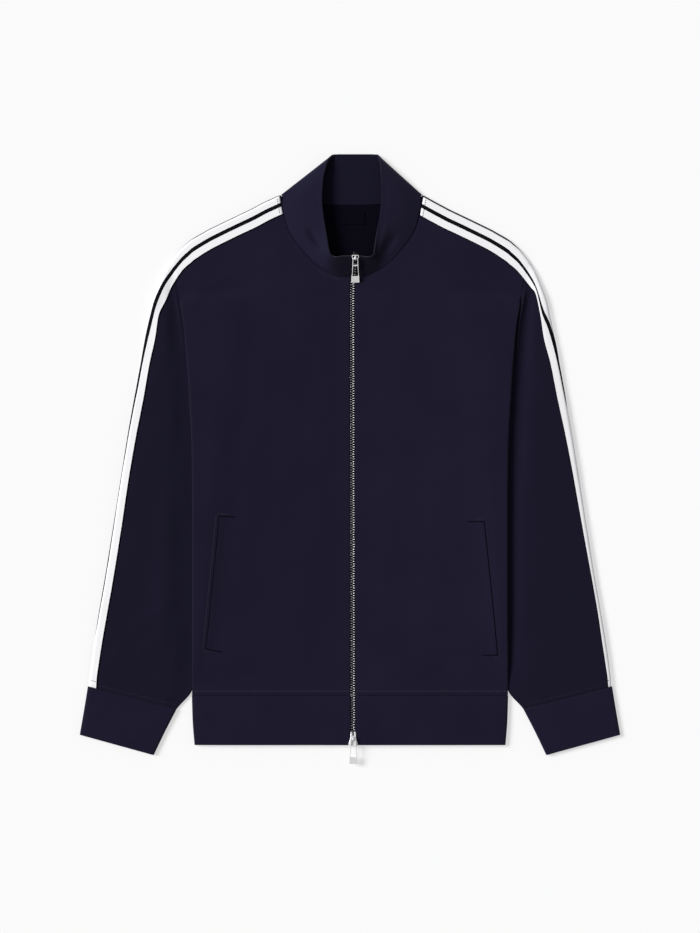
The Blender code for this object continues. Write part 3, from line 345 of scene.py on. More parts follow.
def shoulder_base(side, share):
    """Point of the shoulder's outline and the direction into the front, scaled to 1 square in."""
    outline = shoulder_outline(side)
    lengths = np.linalg.norm(np.diff(outline, axis=0), axis=1)
    ahead = share * lengths.sum()
    index = min(int(np.searchsorted(np.cumsum(lengths), ahead - 1e-9)), len(lengths) - 1)
    travelled = ahead - lengths[:index].sum()
    alongs = np.diff(outline, axis=0) / lengths[:, None]
    base = outline[index] + alongs[index] * travelled
    inward = alongs[:, 1] * ARM_SLANT[0] - alongs[:, 0] * ARM_SLANT[1]
    middles = np.cumsum(lengths) - lengths / 2.0
    return base, ARM_SLANT / np.interp(ahead, middles, inward)


def shoulder_point(side, share, inset):
    """Point of the front's shoulder margin: share of the way to the armhole, inset from the edge."""
    base, inward = shoulder_base(side, share)
    radius = shoulder_radius(share)
    height = SHOULDER_LOW + radius
    if inset < radius:
        height = SHOULDER_LOW + math.sqrt(radius ** 2 - (radius - inset) ** 2)
    place = base + inward * inset
    return (side * place[0], place[1], height)


def neck_edge(side, out=SEAM * 1.2):
    """The front's neck edge: the collar's seam places moved out, at one point to each section."""
    seam = np.array([(section.seam_x + NECK_X * side, section.seam_y) for section in COLLAR_SECTIONS])
    edge = []
    for at in range(NECK_STATIONS):
        along = seam[at + 1] - seam[max(at - 1, 0)]
        along = along / np.linalg.norm(along)
        edge.append(seam[at] + np.array((along[1], -along[0])) * out)
    return edge


def front_grid(side):
    """All rows of one front panel, from the hem seam to the shoulder's edge."""
    rows = [front_row(row, side) for row in [*FRONT_ROWS, CURLED_ROW, RAISED_ROW, FLUSH_ROW]]
    start = np.array(rows[-1])
    shares = np.arange(COLUMN_COUNT) / (COLUMN_COUNT - 1)
    neck = neck_edge(side)
    top = np.array([shoulder_point(side, share, TAPE_WIDTH + 1.3) for share in shares])
    for step, place in enumerate(neck):
        line = start + (top - start) * (step + 1) / (len(neck) + 1)
        shift = np.array((side * place[0], place[1], NECK_TOP)) - line[0]
        rows.append(line + shift * (1.0 - shares[:, None]) ** 1.5)
    rows.append(top)
    rows.append([shoulder_point(side, share, TAPE_WIDTH / 2.0) for share in shares])
    for turn in (90, 45, 0):
        away = 1.0 - math.cos(math.radians(turn))
        rows.append([shoulder_point(side, share, shoulder_radius(share) * away) for share in shares])
    return np.array([np.array(row, dtype=float) for row in rows])


def body_edge(y):
    """Half width at which the body's edge crosses a sleeve."""
    edge = [(row.y, row.fold_x) for row in [*FRONT_ROWS, CURLED_ROW, FLUSH_ROW]]
    return polyline_at([*edge, (SHOULDER_END[1], SHOULDER_END[0])], y)


class Ring:
    """One flattened ring of a sleeve or cuff, and the places round its outer edge."""

    def __init__(self, ring, before, after):
        outer, inner = np.array(ring.outer), np.array(ring.inner)
        outline = np.array(after.outer) - np.array(before.outer)
        outline = outline / np.linalg.norm(outline)
        self.row = ring
        self.inward = (inner - outer) / np.linalg.norm(inner - outer)
        self.skew = abs(self.inward[0] * outline[1] - self.inward[1] * outline[0])
        self.radius = (ring.top - ring.low) / 2.0
        self.outer = outer + self.inward * (ring.trim / self.skew)
        self.inner = inner
        self.flat = CUFF_TOP if ring in CUFF_RINGS else MARGIN_TOP
        self.covered = inner[0] < body_edge(inner[1])
        self.tops = self.crown_points()

    def margin_end(self):
        """Place where the ring comes out from under the body."""
        low, high = 0.0, 1.0
        for _ in range(24):
            share = (low + high) / 2.0
            place = self.inner + (np.array(self.row.outer) - self.inner) * share
            low, high = (share, high) if place[0] < body_edge(place[1]) + MARGIN_CLEAR else (low, share)
        return self.inner + (np.array(self.row.outer) - self.inner) * high

    def crown_points(self):
        """Top points between the body's edge and the rolled outer edge."""
        first = self.margin_end() if self.covered else self.inner - self.inward * (self.flat / 2.0 + 1.0)
        if self.row is SLEEVE_RINGS[0]:
            first = np.array((FLUSH_ROW.fold_x + TUCKED_STEP, FLUSH_ROW.y))
        last = self.outer + self.inward * (self.radius / self.skew)
        points = [(first, self.flat)]
        for share in CROWN_PLACES:
            place = first + (last - first) * share
            free = place[0] - (body_edge(place[1]) if self.covered else self.inner[0]) - MARGIN_CLEAR
            crown = self.row.top + CROWN_RISE if self.row.top > self.flat else self.flat
            points.append((place, self.flat + (crown - self.flat) * smooth(free / CROWN_REACH)))
        return points

    def edge_point(self, travel):
        """Point at a distance round the outer edge: above 0 on its upper side, below 0 under it."""
        quarter = math.pi / 2.0 * self.radius
        middle = (self.row.top + self.row.low) / 2.0
        if abs(travel) <= quarter:
            turn = travel / self.radius
            inset, height = self.radius * (1.0 - math.cos(turn)), middle + self.radius * math.sin(turn)
        elif travel > 0:
            inset = self.radius + travel - quarter
            place, crown = self.tops[-1]
            reach = np.linalg.norm(place - self.outer) * self.skew
            height = self.row.top + (crown - self.row.top) * (inset - self.radius) / (reach - self.radius)
        else:
            inset, height = self.radius - travel - quarter, self.row.low
        place = self.outer + self.inward * (inset / self.skew)
        return (place[0], place[1], height)

    def points(self):
        """The whole ring: inner edge, top, outer edge and floor side."""
        inner_radius = self.flat / 2.0
        line = [(self.inner - self.inward * away, inner_radius + rise)
                for away, rise in arc(inner_radius, ROLL_STEPS, -90, 90)] + self.tops
        ring = [(place[0], place[1], height) for place, height in line]
        quarter = math.pi / 2.0 * self.radius
        ring += [self.edge_point(quarter * share) for share in (1.0, 0.5, 0.0, -0.5, -1.0)]
        for inset, height in ((SLEEVE_LOW_EDGE, self.row.low), (SLEEVE_FLAT_EDGE, 0.0)):
            place = self.outer + self.inward * (inset / self.skew)
            ring.append((place[0], place[1], height))
        last = self.inner + (self.outer - self.inner) * TUCKED_SHARE
        ring.append((last[0], last[1], 0.0))
        return np.array(ring)


def make_rings(table):
    """Rings of a sleeve or cuff with the outline's direction taken from their neighbours."""
    last = len(table) - 1
    return [Ring(row, table[max(at - 1, 0)], table[min(at + 1, last)]) for at, row in enumerate(table)]


def collar_line(section, side):
    """Points of one section of the collar from its seam to its rim."""
    foot = np.array((side * section.seam_x + NECK_X, section.seam_y, section.seam_z))
    rim_half = section.rim_right if side > 0 else section.rim_left
    rim = np.array((side * rim_half + NECK_X, section.rim_y, section.rim_z))
    bow = section.bow_right if side > 0 else section.bow_left
    shares = np.arange(COLLAR_STEPS + 1) / COLLAR_STEPS
    line = foot + (rim - foot) * shares[:, None]
    line[:, 2] += bow * np.sin(math.pi * shares)
    return line


def zip_edge_line(side):
    """The collar's front edge beside the zip."""
    foot, rim = (np.array((zip_x(y) + side * ZIP_SLOT, y, z))
                 for y, z in (COLLAR_FRONT_FOOT, COLLAR_FRONT_RIM))
    return np.array([foot + (rim - foot) * step / COLLAR_STEPS for step in range(COLLAR_STEPS + 1)])


def collar_grid():
    """The whole collar, from the right zip edge round the back to the left."""
    rows = [zip_edge_line(1)] + [collar_line(section, 1) for section in COLLAR_SECTIONS]
    rows.append(collar_line(COLLAR_BACK, 1))
    rows += [collar_line(section, -1) for section in reversed(COLLAR_SECTIONS)] + [zip_edge_line(-1)]
    return np.array(rows)


def hem_grid():
    """The hem band from zip to zip round both sides."""
    rows = []
    for y, half_width in HEM_ROWS:
        radius = HEM_FOLD_TOP / 2.0
        halves = []
        for side in (1, -1):
            edge = side * zip_x(y) + ZIP_SLOT
            line = [(edge + (half_width - radius - edge) * share, height) for share, height in HEM_TOPS]
            line += [(half_width - away, radius + rise) for away, rise in arc(radius, 6, 90, -90)]
            line += [(place, 0.0) for place in (150, 90, 30)]
            halves.append([(side * place, y, height) for place, height in line])
        rows.append(halves[0] + halves[1][::-1])
    return np.array(rows)


def back_outline():
    """Outline of the back panel."""
    halves = []
    for side in (1, -1):
        seam = [(section.seam_x, section.seam_y) for section in COLLAR_SECTIONS if section.seam_z == 0.0]
        line = [(NECK_X * side, COLLAR_BACK.seam_y + SEAM)]
        line += [(x + NECK_X * side, y + SEAM) for x, y in reversed(seam)]
        line.append((BACK_NECK[0] + NECK_X * side, BACK_NECK[1]))
        line += [tuple(point) for point in shoulder_outline(side)]
        line.append((FLUSH_ROW.fold_x, FLUSH_ROW.y))
        line.append((SLEEVE_RINGS[0].inner[0] - SEAM, SLEEVE_RINGS[0].inner[1] + 1.0))
        line.append(BACK_JOG)
        line += [(row.seam_x - SEAM, row.y) for row in reversed(FRONT_ROWS) if not row.lapped]
        halves.append([(side * x, y) for x, y in line[0 if side > 0 else 1:]])
    return halves[0] + halves[1][::-1]


# ================================================================ fine surfaces
SHORT_SPAN, LEAST_STEPS = 0.8, 2


def through(points, step, least=1, closed=False):
    """A smooth curve that never swings past its points, along the first axis of a grid."""
    if closed:
        points = np.concatenate([points[-1:], points, points[:2]])
    spans = np.maximum(np.linalg.norm(np.diff(points, axis=0), axis=2), 1e-6)
    slopes = np.diff(points, axis=0) / spans[..., None]
    tangents = np.empty_like(points)
    tangents[0], tangents[-1] = slopes[0], slopes[-1]
    low, high, before, after = slopes[:-1], slopes[1:], spans[:-1, :, None], spans[1:, :, None]
    same = low * high > 0
    weight = ((2 * before + after) / np.where(same, low, 1)
              + (before + 2 * after) / np.where(same, high, 1))
    tangents[1:-1] = np.where(same, 3 * (before + after) / np.where(same, weight, 1), 0.0)
    first, last = (1, len(points) - 2) if closed else (0, len(points) - 1)
    out = [points[first:first + 1]]
    for at in range(first, last):
        widest = spans[at].max()
        count = max(least if widest > SHORT_SPAN else 1, math.ceil(widest / step))
        t = (np.arange(1, count + 1) / count)[:, None, None]
        h = spans[at][None, :, None]
        out.append((2 * t ** 3 - 3 * t ** 2 + 1) * points[at] + (t ** 3 - 2 * t ** 2 + t) * h * tangents[at]
                   + (3 * t ** 2 - 2 * t ** 3) * points[at + 1] + (t ** 3 - t ** 2) * h * tangents[at + 1])
    fine = np.concatenate(out)
    return fine[:-1] if closed else fine


def refined(grid, step, closed=False):
    """A fine grid through a coarse one; a closed grid joins its last column to its first."""
    rows = through(grid, step, LEAST_STEPS)
    return np.swapaxes(through(np.swapaxes(rows, 0, 1), step, LEAST_STEPS, closed), 0, 1)


def grid_normals(grid, closed=False, flip=False):
    """Unit normals of a grid's points."""
    def difference(values, axis, wrap):
        if wrap:
            return np.roll(values, -1, axis) - np.roll(values, 1, axis)
        return np.gradient(values, axis=axis)
    normals = np.cross(difference(grid, 1, closed), difference(grid, 0, False))
    normals /= np.maximum(np.linalg.norm(normals, axis=2, keepdims=True), 1e-12)
    return -normals if flip else normals


# How much of a crease is gone at its ends, and the slow waves over the cloth: their length, the way
# they run and where they start
CREASE_FADE = 0.75
FRONT_SEED, SLEEVE_SEED, CUFF_SEED, BAND_SEED = 1.7, 3.1, 0.7, 2.4
WAVES = ((61, 0.35, 0.4), (97, 1.2, 1.1), (143, 2.1, 2.3), (43, -0.8, 0.9))
# The rows added beside a seam, how far the cloth's dip there reaches, and how it hangs over the floor
SEAM_ROWS, SEAM_REACH = (3.0, 2.0, 1.2, 0.6, 0.2), 2.2
FRONT_DIP, CUFF_DIP, BAND_DIP = 0.7, 0.8, 1.0
HANGING, FLOOR_GAP = -0.3, 0.05


def crease_height(points, creases):
    """How far the creases raise the cloth at each point of a grid."""
    height = np.zeros(points.shape[:2])
    for crease in creases:
        start, end = np.array((crease.x1, crease.y1)), np.array((crease.x2, crease.y2))
        away = points[..., :2] - start
        share = np.clip(away @ (end - start) / ((end - start) @ (end - start)), 0.0, 1.0)
        gap = np.linalg.norm(away - share[..., None] * (end - start), axis=2)
        fade = 1.0 - (2.0 * share - 1.0) ** 4 * CREASE_FADE
        height += crease.height * np.exp(-(gap / crease.width) ** 2) * fade
    return height


def soft_swell(points, size, seed):
    """Slow, uneven swells over cloth that isn't pressed flat."""
    x, y = points[..., 0], points[..., 1]
    total = 0.0
    for long, turn, phase in WAVES:
        along = x * math.cos(turn + seed) + y * math.sin(turn + seed)
        total = total + np.sin(along * 2 * math.pi / long + phase * seed)
    return total * size / len(WAVES)


def end_rows(grid, at_end):
    """Add rows close to the grid's first or last one, so that the cloth can dip at its seam."""
    grid = grid if at_end else grid[::-1]
    span = np.linalg.norm(grid[-1] - grid[-2], axis=1)[:, None]
    added = [grid[-1] + (grid[-2] - grid[-1]) * np.minimum(step / np.maximum(span, 1e-6), 0.96 - 0.02 * at)
             for at, step in enumerate(SEAM_ROWS)]
    grid = np.concatenate([grid[:-1], added, grid[-1:]])
    return grid if at_end else grid[::-1]


def seam_dip(grid, at_end, depth=0.9):
    """How far the cloth drops towards the seam at the grid's first or last row."""
    edge = grid[-1] if at_end else grid[0]
    away = np.linalg.norm(grid - edge, axis=2)
    return -depth * (1.0 - smooth(away / SEAM_REACH))


def raise_cloth(grid, height, closed=False, flip=False):
    """Raise the upward-facing part of a grid by the given heights."""
    up = np.clip(grid_normals(grid, closed, flip)[..., 2], 0.0, 1.0) ** 2
    grid = grid.copy()
    grid[..., 2] += height * up
    return grid


def above_floor(grid, wall, closed=False, flip=False):
    """Lift the points whose wall, hanging below them, would pass through the floor."""
    grid = grid.copy()
    hangs = grid_normals(grid, closed, flip)[..., 2] > HANGING
    grid[..., 2] = np.where(hangs, np.maximum(grid[..., 2], wall + FLOOR_GAP), grid[..., 2])
    return grid


# ================================================================ meshes and pieces
# The cloth is searched for from overhead, straight down
OVERHEAD, DOWN = 60.0, Vector((0, 0, -1))
BOX_PROFILE = 0.6


def new_piece(name, mesh, finishes, body, nodes):
    """Link a mesh as a piece of the jacket that rides on a body and stands for solids."""
    piece = bpy.data.objects.new(name, mesh)
    bpy.context.scene.collection.objects.link(piece)
    for finish in finishes:
        mesh.materials.append(finish)
    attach(piece, body)
    if nodes:
        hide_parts(*nodes)
    return piece


def grid_mesh(name, grid, closed=False, flip=False, bands=None):
    """A quad mesh over a grid of millimetre points; bands gives each face or column its material."""
    rows, columns = grid.shape[:2]
    index = np.arange(rows * columns).reshape(rows, columns)
    after = np.roll(index, -1, axis=1) if closed else index[:, 1:]
    here = index if closed else index[:, :-1]
    quads = np.stack([here[:-1], after[:-1], after[1:], here[1:]], axis=-1).reshape(-1, 4)
    if flip:
        quads = quads[:, ::-1]
    mesh = bpy.data.meshes.new(name)
    mesh.from_pydata((grid.reshape(-1, 3) * MM).tolist(), [], quads.tolist())
    if bands is not None:
        across = columns if closed else columns - 1
        kinds = np.broadcast_to(bands, (rows - 1, across)).reshape(-1).astype(np.int32)
        mesh.polygons.foreach_set("material_index", kinds)
    mesh.shade_smooth()
    mesh.update()
    return mesh


def cloth(name, mesh, wall, finishes, nodes, edge=0.45, side=-1.0):
    """A piece of cloth: a sheet given its wall and softly rounded cut edges."""
    piece = new_piece(name, mesh, finishes, BODY, nodes)
    thicken = piece.modifiers.new("wall", "SOLIDIFY")
    thicken.thickness = wall * MM
    thicken.offset = side
    if edge:
        rounded = piece.modifiers.new("edges", "BEVEL")
        rounded.width = edge * MM
        rounded.segments = 2
        rounded.limit_method = "ANGLE"
        rounded.angle_limit = math.radians(55)
        rounded.harden_normals = False
    return piece


def joined(name, meshes, kinds=None):
    """One mesh from a list of (points in millimetres, faces); kinds gives each shape its material."""
    points, faces, offset = [], [], 0
    for verts, polys in meshes:
        points.append(np.asarray(verts, dtype=float))
        faces += [[corner + offset for corner in poly] for poly in polys]
        offset += len(verts)
    mesh = bpy.data.meshes.new(name)
    mesh.from_pydata((np.concatenate(points) * MM).tolist(), [], faces)
    if kinds is not None:
        faces_each = [len(polys) for _, polys in meshes]
        mesh.polygons.foreach_set("material_index", np.repeat(kinds, faces_each).astype(np.int32))
    mesh.shade_smooth()
    mesh.update()
    return mesh


def tube_faces(rings, around):
    """Faces of a capped tube whose points go round it ring by ring."""
    faces = [[ring + corner, ring + after, ring + around + after, ring + around + corner]
             for ring in range(0, (rings - 1) * around, around)
             for corner, after in zip(range(around), [*range(1, around), 0])]
    last = (rings - 1) * around
    return faces + [list(range(around))[::-1], list(range(last, last + around))]


def bevelled_box(size, bevel, segments=1):
    """Points and faces of a box with rounded edges, centred on the origin."""
    mesh = bmesh.new()
    bmesh.ops.create_cube(mesh, size=1.0)
    for vert in mesh.verts:
        vert.co = Vector((vert.co.x * size[0], vert.co.y * size[1], vert.co.z * size[2]))
    bmesh.ops.bevel(mesh, geom=mesh.edges[:], offset=bevel, segments=segments, affect="EDGES",
                    profile=BOX_PROFILE)
    mesh.verts.index_update()
    points = np.array([vert.co[:] for vert in mesh.verts])
    shape = points, [[vert.index for vert in face.verts] for face in mesh.faces]
    mesh.free()
    return shape


def flat_frame(outlines, thickness, bevel):
    """Points and faces of a flat plate from closed outlines, the first its edge and the rest holes."""
    curve = bpy.data.curves.new("plate", "CURVE")
    curve.dimensions, curve.fill_mode = "2D", "BOTH"
    curve.extrude, curve.bevel_depth, curve.bevel_resolution = thickness / 2.0 - bevel, bevel, 2
    curve.offset = -bevel
    for outline in outlines:
        spline = curve.splines.new("POLY")
        spline.points.add(len(outline) - 1)
        for point, place in zip(spline.points, outline):
            point.co = (place[0], place[1], 0.0, 1.0)
        spline.use_cyclic_u = True
    holder = bpy.data.objects.new("plate", curve)
    bpy.context.scene.collection.objects.link(holder)
    bpy.context.view_layer.update()
    solid = holder.evaluated_get(bpy.context.evaluated_depsgraph_get())
    mesh = bpy.data.meshes.new_from_object(solid)
    points = np.array([vert.co[:] for vert in mesh.vertices])
    shape = points, [list(poly.vertices) for poly in mesh.polygons]
    bpy.data.objects.remove(holder)
    bpy.data.curves.remove(curve)
    bpy.data.meshes.remove(mesh)
    return shape


def turned(shape, tilt, place):
    """A shape tilted about X and moved to its place."""
    points, faces = shape
    turn = np.array(Euler((tilt, 0.0, 0.0)).to_matrix())
    return points @ turn.T + np.array(place), faces


# A stitch's sections: share of its length, thickness and depth in the cloth as shares of the thread
STITCH_SECTIONS = ((0.0, 0.35, 0.9), (0.18, 0.9, 0.1), (0.5, 1.0, 0.0), (0.82, 0.9, 0.1), (1.0, 0.35, 0.9))


def stitches(path, surface, thread, pitch, length=2.5, proud=0.12):
    """Stitch shapes along a path of (x, y) places, laid on a surface seen from above."""
    path = np.array(path, dtype=float)
    spans = np.linalg.norm(np.diff(path, axis=0), axis=1)
    total = spans.sum()
    marks = np.concatenate([[0.0], np.cumsum(spans)])
    made = []
    for number in range(int(total / pitch)):
        ends = []
        for ahead in (number * pitch, number * pitch + length):
            x, y = (np.interp(ahead, marks, path[:, axis]) for axis in (0, 1))
            hit, normal = surface.ray_cast(Vector((x, y, OVERHEAD)), DOWN)[:2]
            if hit is None:
                break
            ends.append((np.array(hit) + np.array(normal) * proud, np.array(normal)))
        if len(ends) == 2:
            made.append(stitch_shape(*ends, thread))
    return made


def stitch_shape(first, last, thread):
    """One stitch: a short six-sided thread that dips into the cloth at both ends."""
    (start, up), end = first, last[0]
    along = (end - start) / np.linalg.norm(end - start)
    across = np.cross(along, up)
    across /= np.linalg.norm(across)
    points = []
    for share, thick, sink in STITCH_SECTIONS:
        centre = start + (end - start) * share - up * sink * thread
        for corner in range(6):
            turn = math.radians(60 * corner)
            points.append(centre + (across * math.cos(turn) + up * math.sin(turn)) * thread * thick)
    return np.array(points), tube_faces(len(STITCH_SECTIONS), 6)


def surface_of(name):
    """A search tree over a piece's mesh, in millimetres."""
    mesh = bpy.data.objects[name].data
    points = [vert.co / MM for vert in mesh.vertices]
    return BVHTree.FromPolygons(points, [list(poly.vertices) for poly in mesh.polygons])


# ================================================================ finishes
def set_inputs(node, values):
    """Set a node's inputs, given by name or number."""
    for key, value in values.items():
        node.inputs[key].default_value = value


def add_node(tree, kind, place, inputs=None, **settings):
    """Add a node to a tree, with its settings and the values of its inputs."""
    node = tree.nodes.new(kind)
    node.location = place
    for key, value in settings.items():
        setattr(node, key, value)
    set_inputs(node, inputs or {})
    return node


def wire(tree, *pairs):
    """Link sockets, each pair an output and the input that it feeds."""
    for source, target in pairs:
        tree.links.new(source, target)


def maths(tree, operation, *inputs, clamp=False):
    """A maths node fed by sockets or numbers."""
    node = add_node(tree, "ShaderNodeMath", (0, 0), operation=operation, use_clamp=clamp)
    for at, value in enumerate(inputs):
        if isinstance(value, (int, float)):
            node.inputs[at].default_value = value
        else:
            tree.links.new(value, node.inputs[at])
    return node.outputs[0]


def new_material(name):
    """A material with its node tree and its main shader."""
    made = bpy.data.materials.new(name)
    made.use_nodes = True
    return made, made.node_tree, made.node_tree.nodes["Principled BSDF"]


def dimmed(colour, share):
    """A colour made darker, or lighter where the share is over 1."""
    return tuple(value * share for value in colour)


KNIT_SOCKETS = (("Vector", "INPUT", "Vector", None), ("Wale spacing", "INPUT", "Float", 1.1),
                ("Shade", "INPUT", "Float", 0.18), ("Lint", "INPUT", "Float", 0.25),
                ("Colour", "INPUT", "Color", (0.5, 0.5, 0.5, 1)),
                ("Lint colour", "INPUT", "Color", (0.5, 0.5, 0.5, 1)),
                ("Colour", "OUTPUT", "Color", None), ("Roughness", "OUTPUT", "Float", None),
                ("Height", "OUTPUT", "Float", None))


def knit_effect():
    """Node group: the loops of a smooth knit, with its slow colour variation and specks of lint."""
    group = bpy.data.node_groups.new("knitted loops", "ShaderNodeTree")
    for name, way, kind, value in KNIT_SOCKETS:
        socket = group.interface.new_socket(name, in_out=way, socket_type=f"NodeSocket{kind}")
        if value is not None:
            socket.default_value = value
    calc = partial(maths, group)
    given = add_node(group, "NodeGroupInput", (-1200, 0))
    result = add_node(group, "NodeGroupOutput", (900, 0))
    scaled = add_node(group, "ShaderNodeVectorMath", (-1000, 0), operation="SCALE")
    split = add_node(group, "ShaderNodeSeparateXYZ", (-800, 0))
    slow = add_node(group, "ShaderNodeTexNoise", (-600, -300), {"Scale": 14.0, "Detail": 3.0})
    fine = add_node(group, "ShaderNodeTexNoise", (-600, -500), {"Scale": 900.0, "Detail": 2.0})
    wire(group, (given.outputs["Vector"], scaled.inputs[0]),
         (calc("DIVIDE", 1000.0, given.outputs["Wale spacing"]), scaled.inputs["Scale"]),
         (scaled.outputs[0], split.inputs[0]),
         (given.outputs["Vector"], slow.inputs["Vector"]), (given.outputs["Vector"], fine.inputs["Vector"]))
    wale = calc("ABSOLUTE", calc("SINE", calc("MULTIPLY", split.outputs["X"], math.pi)))
    slant = calc("MULTIPLY", calc("PINGPONG", split.outputs["X"], 0.5), 0.9)
    course = calc("ADD", calc("MULTIPLY", split.outputs["Y"], 1.25), slant)
    loop = calc("ABSOLUTE", calc("SINE", calc("MULTIPLY", course, math.pi)))
    knit = calc("MULTIPLY", calc("POWER", wale, 0.6), calc("MULTIPLY_ADD", loop, 0.55, 0.45))
    shade = calc("MULTIPLY_ADD", calc("SUBTRACT", slow.outputs["Fac"], 0.5), 1.2,
                 calc("MULTIPLY", calc("SUBTRACT", fine.outputs["Fac"], 0.5), 0.8))
    shade = calc("ADD", shade, calc("MULTIPLY", calc("SUBTRACT", knit, 0.5), 0.7))
    specks = calc("MULTIPLY", calc("SUBTRACT", fine.outputs["Fac"], 0.7, clamp=True), 3.0, clamp=True)
    tinted = add_node(group, "ShaderNodeVectorMath", (300, 200), operation="SCALE")
    mixed = add_node(group, "ShaderNodeMix", (500, 200), data_type="RGBA")
    wire(group, (given.outputs["Colour"], tinted.inputs[0]),
         (calc("MULTIPLY_ADD", shade, given.outputs["Shade"], 1.0), tinted.inputs["Scale"]),
         (calc("MULTIPLY", specks, given.outputs["Lint"]), mixed.inputs["Factor"]),
         (tinted.outputs[0], mixed.inputs[6]), (given.outputs["Lint colour"], mixed.inputs[7]),
         (mixed.outputs[2], result.inputs["Colour"]),
         (calc("MULTIPLY_ADD", knit, -0.12, 0.95), result.inputs["Roughness"]),
         (calc("MULTIPLY_ADD", fine.outputs["Fac"], 0.25, knit), result.inputs["Height"]))
    return group


def pooled_colour(tree, places, colour, pool):
    """A colour with painted shade, deepening towards one place: (place in millimetres, near, far, least
    share).
    """
    middle, near, far, least = pool
    away = add_node(tree, "ShaderNodeVectorMath", (-1000, 400), {1: [value * MM for value in middle]},
                    operation="DISTANCE")
    share = add_node(tree, "ShaderNodeMapRange", (-800, 400), {1: near * MM, 2: far * MM, 3: least, 4: 1.0},
                     interpolation_type="SMOOTHSTEP")
    scaled = add_node(tree, "ShaderNodeVectorMath", (-600, 400), {0: colour}, operation="SCALE")
    wire(tree, (places.outputs["Object"], away.inputs[0]), (away.outputs["Value"], share.inputs["Value"]),
         (share.outputs["Result"], scaled.inputs["Scale"]))
    return scaled.outputs[0]


def knit_finish(name, colour, spacing=1.1, turn=0.0, shade=0.18, bump=0.12, sheen=0.12, gloss=0.1,
                lint=0.05, pool=None):
    """A knitted cloth's material: colour, loops along its grain, soft sheen, and painted shade round one
    place where one is given.
    """
    made, tree, shader = new_material(name)
    group = bpy.data.node_groups.get("knitted loops") or knit_effect()
    lint_colour = [min(1.0, value * 2.5 + 0.01) for value in colour]
    loops = add_node(tree, "ShaderNodeGroup", (-400, 0), node_tree=group)
    set_inputs(loops, {"Wale spacing": spacing, "Shade": shade, "Lint": lint, "Colour": (*colour, 1.0),
                       "Lint colour": (*lint_colour, 1.0)})
    grain = add_node(tree, "ShaderNodeMapping", (-650, 0), {"Rotation": (0.0, 0.0, turn)})
    places = add_node(tree, "ShaderNodeTexCoord", (-850, 0))
    raised = add_node(tree, "ShaderNodeBump", (-200, -300), {"Strength": bump, "Distance": 0.0004})
    set_inputs(shader, {"Specular IOR Level": gloss, "Sheen Weight": sheen, "Sheen Roughness": 0.45})
    wire(tree, (places.outputs["Object"], grain.inputs["Vector"]),
         (grain.outputs["Vector"], loops.inputs["Vector"]),
         (loops.outputs["Colour"], shader.inputs["Base Color"]),
         (loops.outputs["Roughness"], shader.inputs["Roughness"]),
         (loops.outputs["Height"], raised.inputs["Height"]),
         (raised.outputs["Normal"], shader.inputs["Normal"]))
    # Painted shade: the colour darkens towards one place when one is given
    if pool:
        wire(tree, (pooled_colour(tree, places, colour, pool), loops.inputs["Colour"]))
    return made


def metal_finish(name, colour, roughness, metallic=1.0):
    """Zip metal with fine scratches and slightly dulled patches, satin where it isn't fully metallic."""
    made, tree, shader = new_material(name)
    places = add_node(tree, "ShaderNodeTexCoord", (-900, 0))
    stretch = add_node(tree, "ShaderNodeMapping", (-700, 0), {"Scale": (2600.0, 260.0, 900.0)})
    scratch = add_node(tree, "ShaderNodeTexNoise", (-500, 0), {"Scale": 1.0})
    dull = add_node(tree, "ShaderNodeTexNoise", (-500, -250), {"Scale": 420.0})
    raised = add_node(tree, "ShaderNodeBump", (-200, -300), {"Strength": 0.05, "Distance": 0.0002})
    tint = add_node(tree, "ShaderNodeMix", (-200, 200), data_type="RGBA")
    set_inputs(tint, {6: (*dimmed(colour, 0.82), 1.0), 7: (*colour, 1.0)})
    set_inputs(shader, {"Metallic": metallic})
    wire(tree, (places.outputs["Object"], stretch.inputs["Vector"]),
         (stretch.outputs["Vector"], scratch.inputs["Vector"]),
         (places.outputs["Object"], dull.inputs["Vector"]),
         (dull.outputs["Fac"], tint.inputs["Factor"]), (tint.outputs[2], shader.inputs["Base Color"]),
         (maths(tree, "MULTIPLY_ADD", dull.outputs["Fac"], 0.16, roughness), shader.inputs["Roughness"]),
         (scratch.outputs["Fac"], raised.inputs["Height"]),
         (raised.outputs["Normal"], shader.inputs["Normal"]))
    return made


FINISHES = {}


def finish(name, maker, *values, **options):
    """Make a finish once and hand it out by name."""
    if name not in FINISHES:
        FINISHES[name] = maker(name, *values, **options)
    return FINISHES[name]


# How light each part's knit is against the body's, mostly painted light and shade on one knit (the inside's
# partly its inner face, the thread's its own tone), and how its grain is turned
TONE_AND_PAINTED_LIGHT_SHARES = {"sleeve": 0.84, "collar": 1.12, "collar inside": 0.76, "pocket mouth": 0.12, "inside": 0.3,
          "thread": 1.35}
SLEEVE_TURN, CUFF_TURN = -0.2, -0.24


def navy(turn=0.0, word="body", share=1.0, pool=None):
    """The jacket's navy double knit, its grain turned and its colour dimmed or lightened per piece as
    painted light and shade.
    """
    return finish(f"navy knit {word}", knit_finish, dimmed(colour("knit"), share), turn=turn, gloss=0.04,
                  sheen=0.1 * share, pool=pool)


def colour(name):
    """One of the jacket's colours as a tuple."""
    return tuple(getattr(bpy.context.scene.jacket_colours, name))


# ================================================================ what a user may change
def colour_property(name, description, value):
    """A colour that a user may change."""
    return FloatVectorProperty(name=name, description=description, subtype="COLOR", size=3, min=0.0,
                               max=1.0, default=value)


def length_property(name, description, value, least, most):
    """A length in metres that a user may change."""
    return FloatProperty(name=name, description=description, unit="LENGTH", default=value, min=least,
                         max=most)


